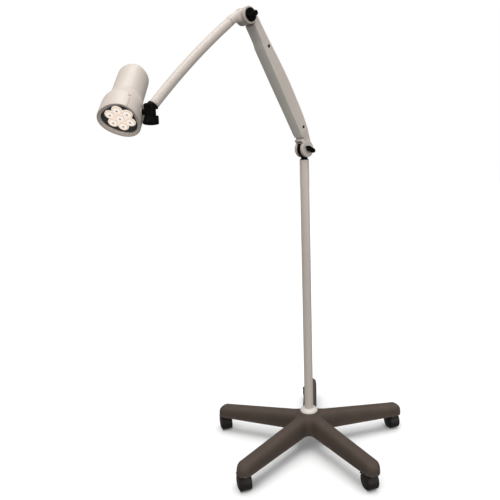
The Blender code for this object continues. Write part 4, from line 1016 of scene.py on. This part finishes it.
def build_lights():
    front = LENS_FRONT
    wide = MOUTH_RADIUS + 0.0030
    plate = [head_ring(front + depth, wide, MOUTH_WAVE * 0.6) for depth in (0.0027, 0.0044)]
    steps = [("DIFFERENCE", turned([(LED_RING * 0.9, -0.05), (LED_RING * 0.9, 0.05)], 64))]
    hole = turned([(LED_RADIUS + 0.0006, -0.05), (LED_RADIUS + 0.0006, 0.05)], 64)
    for x, y in led_places()[1:]:
        steps.append(("DIFFERENCE", moved(hole, Matrix.Translation((x, y, 0)))))
    bezel = bevelled(combined(lofted(plate), *steps), 0.0004)
    piece("lens_bezel", bezel, LAMP, BEZEL, "head", ["head_bezel"])

    dome = [(0.0045, front + 0.0164), (LED_RADIUS, front + 0.0054), (LED_RADIUS, front + 0.0020)]
    dome += [(LED_RADIUS - 0.0005, front + 0.0014)]
    for i in range(1, 9):
        rise = 0.0018 * math.sin(math.pi / 2 * i / 9)
        dome.append((LED_RADIUS * (1 - i / 9), front + 0.0014 - rise))
    lens = turned(dome, 56)
    for index, (x, y) in enumerate(led_places()):
        nodes = ["lens_array"] if index == 0 else []
        place = LAMP @ Matrix.Translation((x, y, 0))
        piece(f"lens_{index + 1}", lens, place, LENS, "head", nodes, 30)
    web = turned([(LED_RING * 0.86, front + 0.0026), (LED_RING * 0.86, front + 0.0049)], 64)
    piece("lens_web", web, LAMP, LENS, "head")
    disc = turned([(0.0310, front + 0.0167), (0.0310, front + 0.0183)], 72)
    piece("led_disc", disc, LAMP, BOARD, "head", ["led_board"])
    for obj in frame_nodes("heat_sink"):
        dress(obj, ALUMINIUM)


# ---------------------------------------------------------------- CAD nodes that stay, and the studio


def frame_nodes(*names):
    return [obj for obj in bpy.context.scene.objects if obj.get("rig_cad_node") in names]


def dress(obj, look):
    obj.data.materials.clear()
    obj.data.materials.append(look)


def soft_sun(name, toward, strength, color):
    """A wide, soft light from one direction."""
    data = bpy.data.lights.new(name, "SUN")
    data.energy = strength
    data.color = color
    data.angle = math.radians(50)
    light = bpy.data.objects.new(name, data)
    light.rotation_mode = "QUATERNION"
    light.rotation_quaternion = Vector(toward).to_track_quat("Z", "Y")
    bpy.context.scene.collection.objects.link(light)


def build_studio():
    bm = bmesh.new()
    bmesh.ops.create_grid(bm, x_segments=8, y_segments=8, size=14)
    floor = bpy.data.objects.new("studio_floor", finish_mesh(bm, "floor"))
    floor.location = (0, 0, -0.0004)
    look = bpy.data.materials.new("studio_white")
    look.use_nodes = True
    look.node_tree.nodes["Principled BSDF"].inputs["Base Color"].default_value = (0.90, 0.90, 0.90, 1)
    look.node_tree.nodes["Principled BSDF"].inputs["Roughness"].default_value = 1.0
    look.node_tree.nodes["Principled BSDF"].inputs["Specular IOR Level"].default_value = 0.0
    floor.data.materials.append(look)
    floor.visible_diffuse = False
    floor.visible_glossy = False
    bpy.context.scene.collection.objects.link(floor)

    world = bpy.data.worlds.new("studio")
    bpy.context.scene.world = world
    world.use_nodes = True
    tree = world.node_tree
    sky = tree.nodes["Background"]
    sky.inputs["Color"].default_value = (1.0, 1.0, 1.0, 1)
    split = node(tree, "ShaderNodeSeparateXYZ")
    tree.links.new(node(tree, "ShaderNodeTexCoord").outputs["Generated"], split.inputs[0])
    brighter = node(tree, "ShaderNodeMath", operation="MAXIMUM")
    tree.links.new(to_range(tree, split.outputs["Z"], -0.4, 0.6, 0.22, 0.50), brighter.inputs[0])
    tree.links.new(node(tree, "ShaderNodeLightPath").outputs["Is Camera Ray"], brighter.inputs[1])
    tree.links.new(brighter.outputs[0], sky.inputs["Strength"])
    soft_sun("key", (-0.42, -0.64, 0.60), 1.05, (1.0, 0.985, 0.96))
    soft_sun("fill", (0.75, -0.60, 0.10), 1.15, (1, 1, 1))
    soft_sun("top", (0.05, -0.10, 1.0), 1.9, (1, 1, 1))
    bpy.context.scene.view_settings.view_transform = "Standard"

    data = bpy.data.cameras.new("view")
    data.sensor_width = 36
    data.lens = 37.24
    data.shift_x = -0.116
    camera = bpy.data.objects.new("view", data)
    yaw, pitch, roll = 0.00394, 0.17937, -0.018276
    ahead = Vector((math.sin(yaw) * math.cos(pitch), math.cos(yaw) * math.cos(pitch), -math.sin(pitch)))
    right = Vector((math.cos(yaw), -math.sin(yaw), 0))
    up = right.cross(ahead)
    across = math.cos(roll) * right + math.sin(roll) * up
    rise = -math.sin(roll) * right + math.cos(roll) * up
    place = Matrix((across, rise, -ahead)).transposed().to_4x4()
    place.translation = Vector((POLE_X + 0.00007, POLE_Y - 1.5316, 0.9121))
    camera.matrix_world = place
    bpy.context.scene.collection.objects.link(camera)
    bpy.context.scene.camera = camera


build_studio()
build_base()
build_castors()
build_arm()
build_lower_joint()
build_elbow()
build_forearm()
build_head_joint()
build_bell()
build_housing()
build_lights()
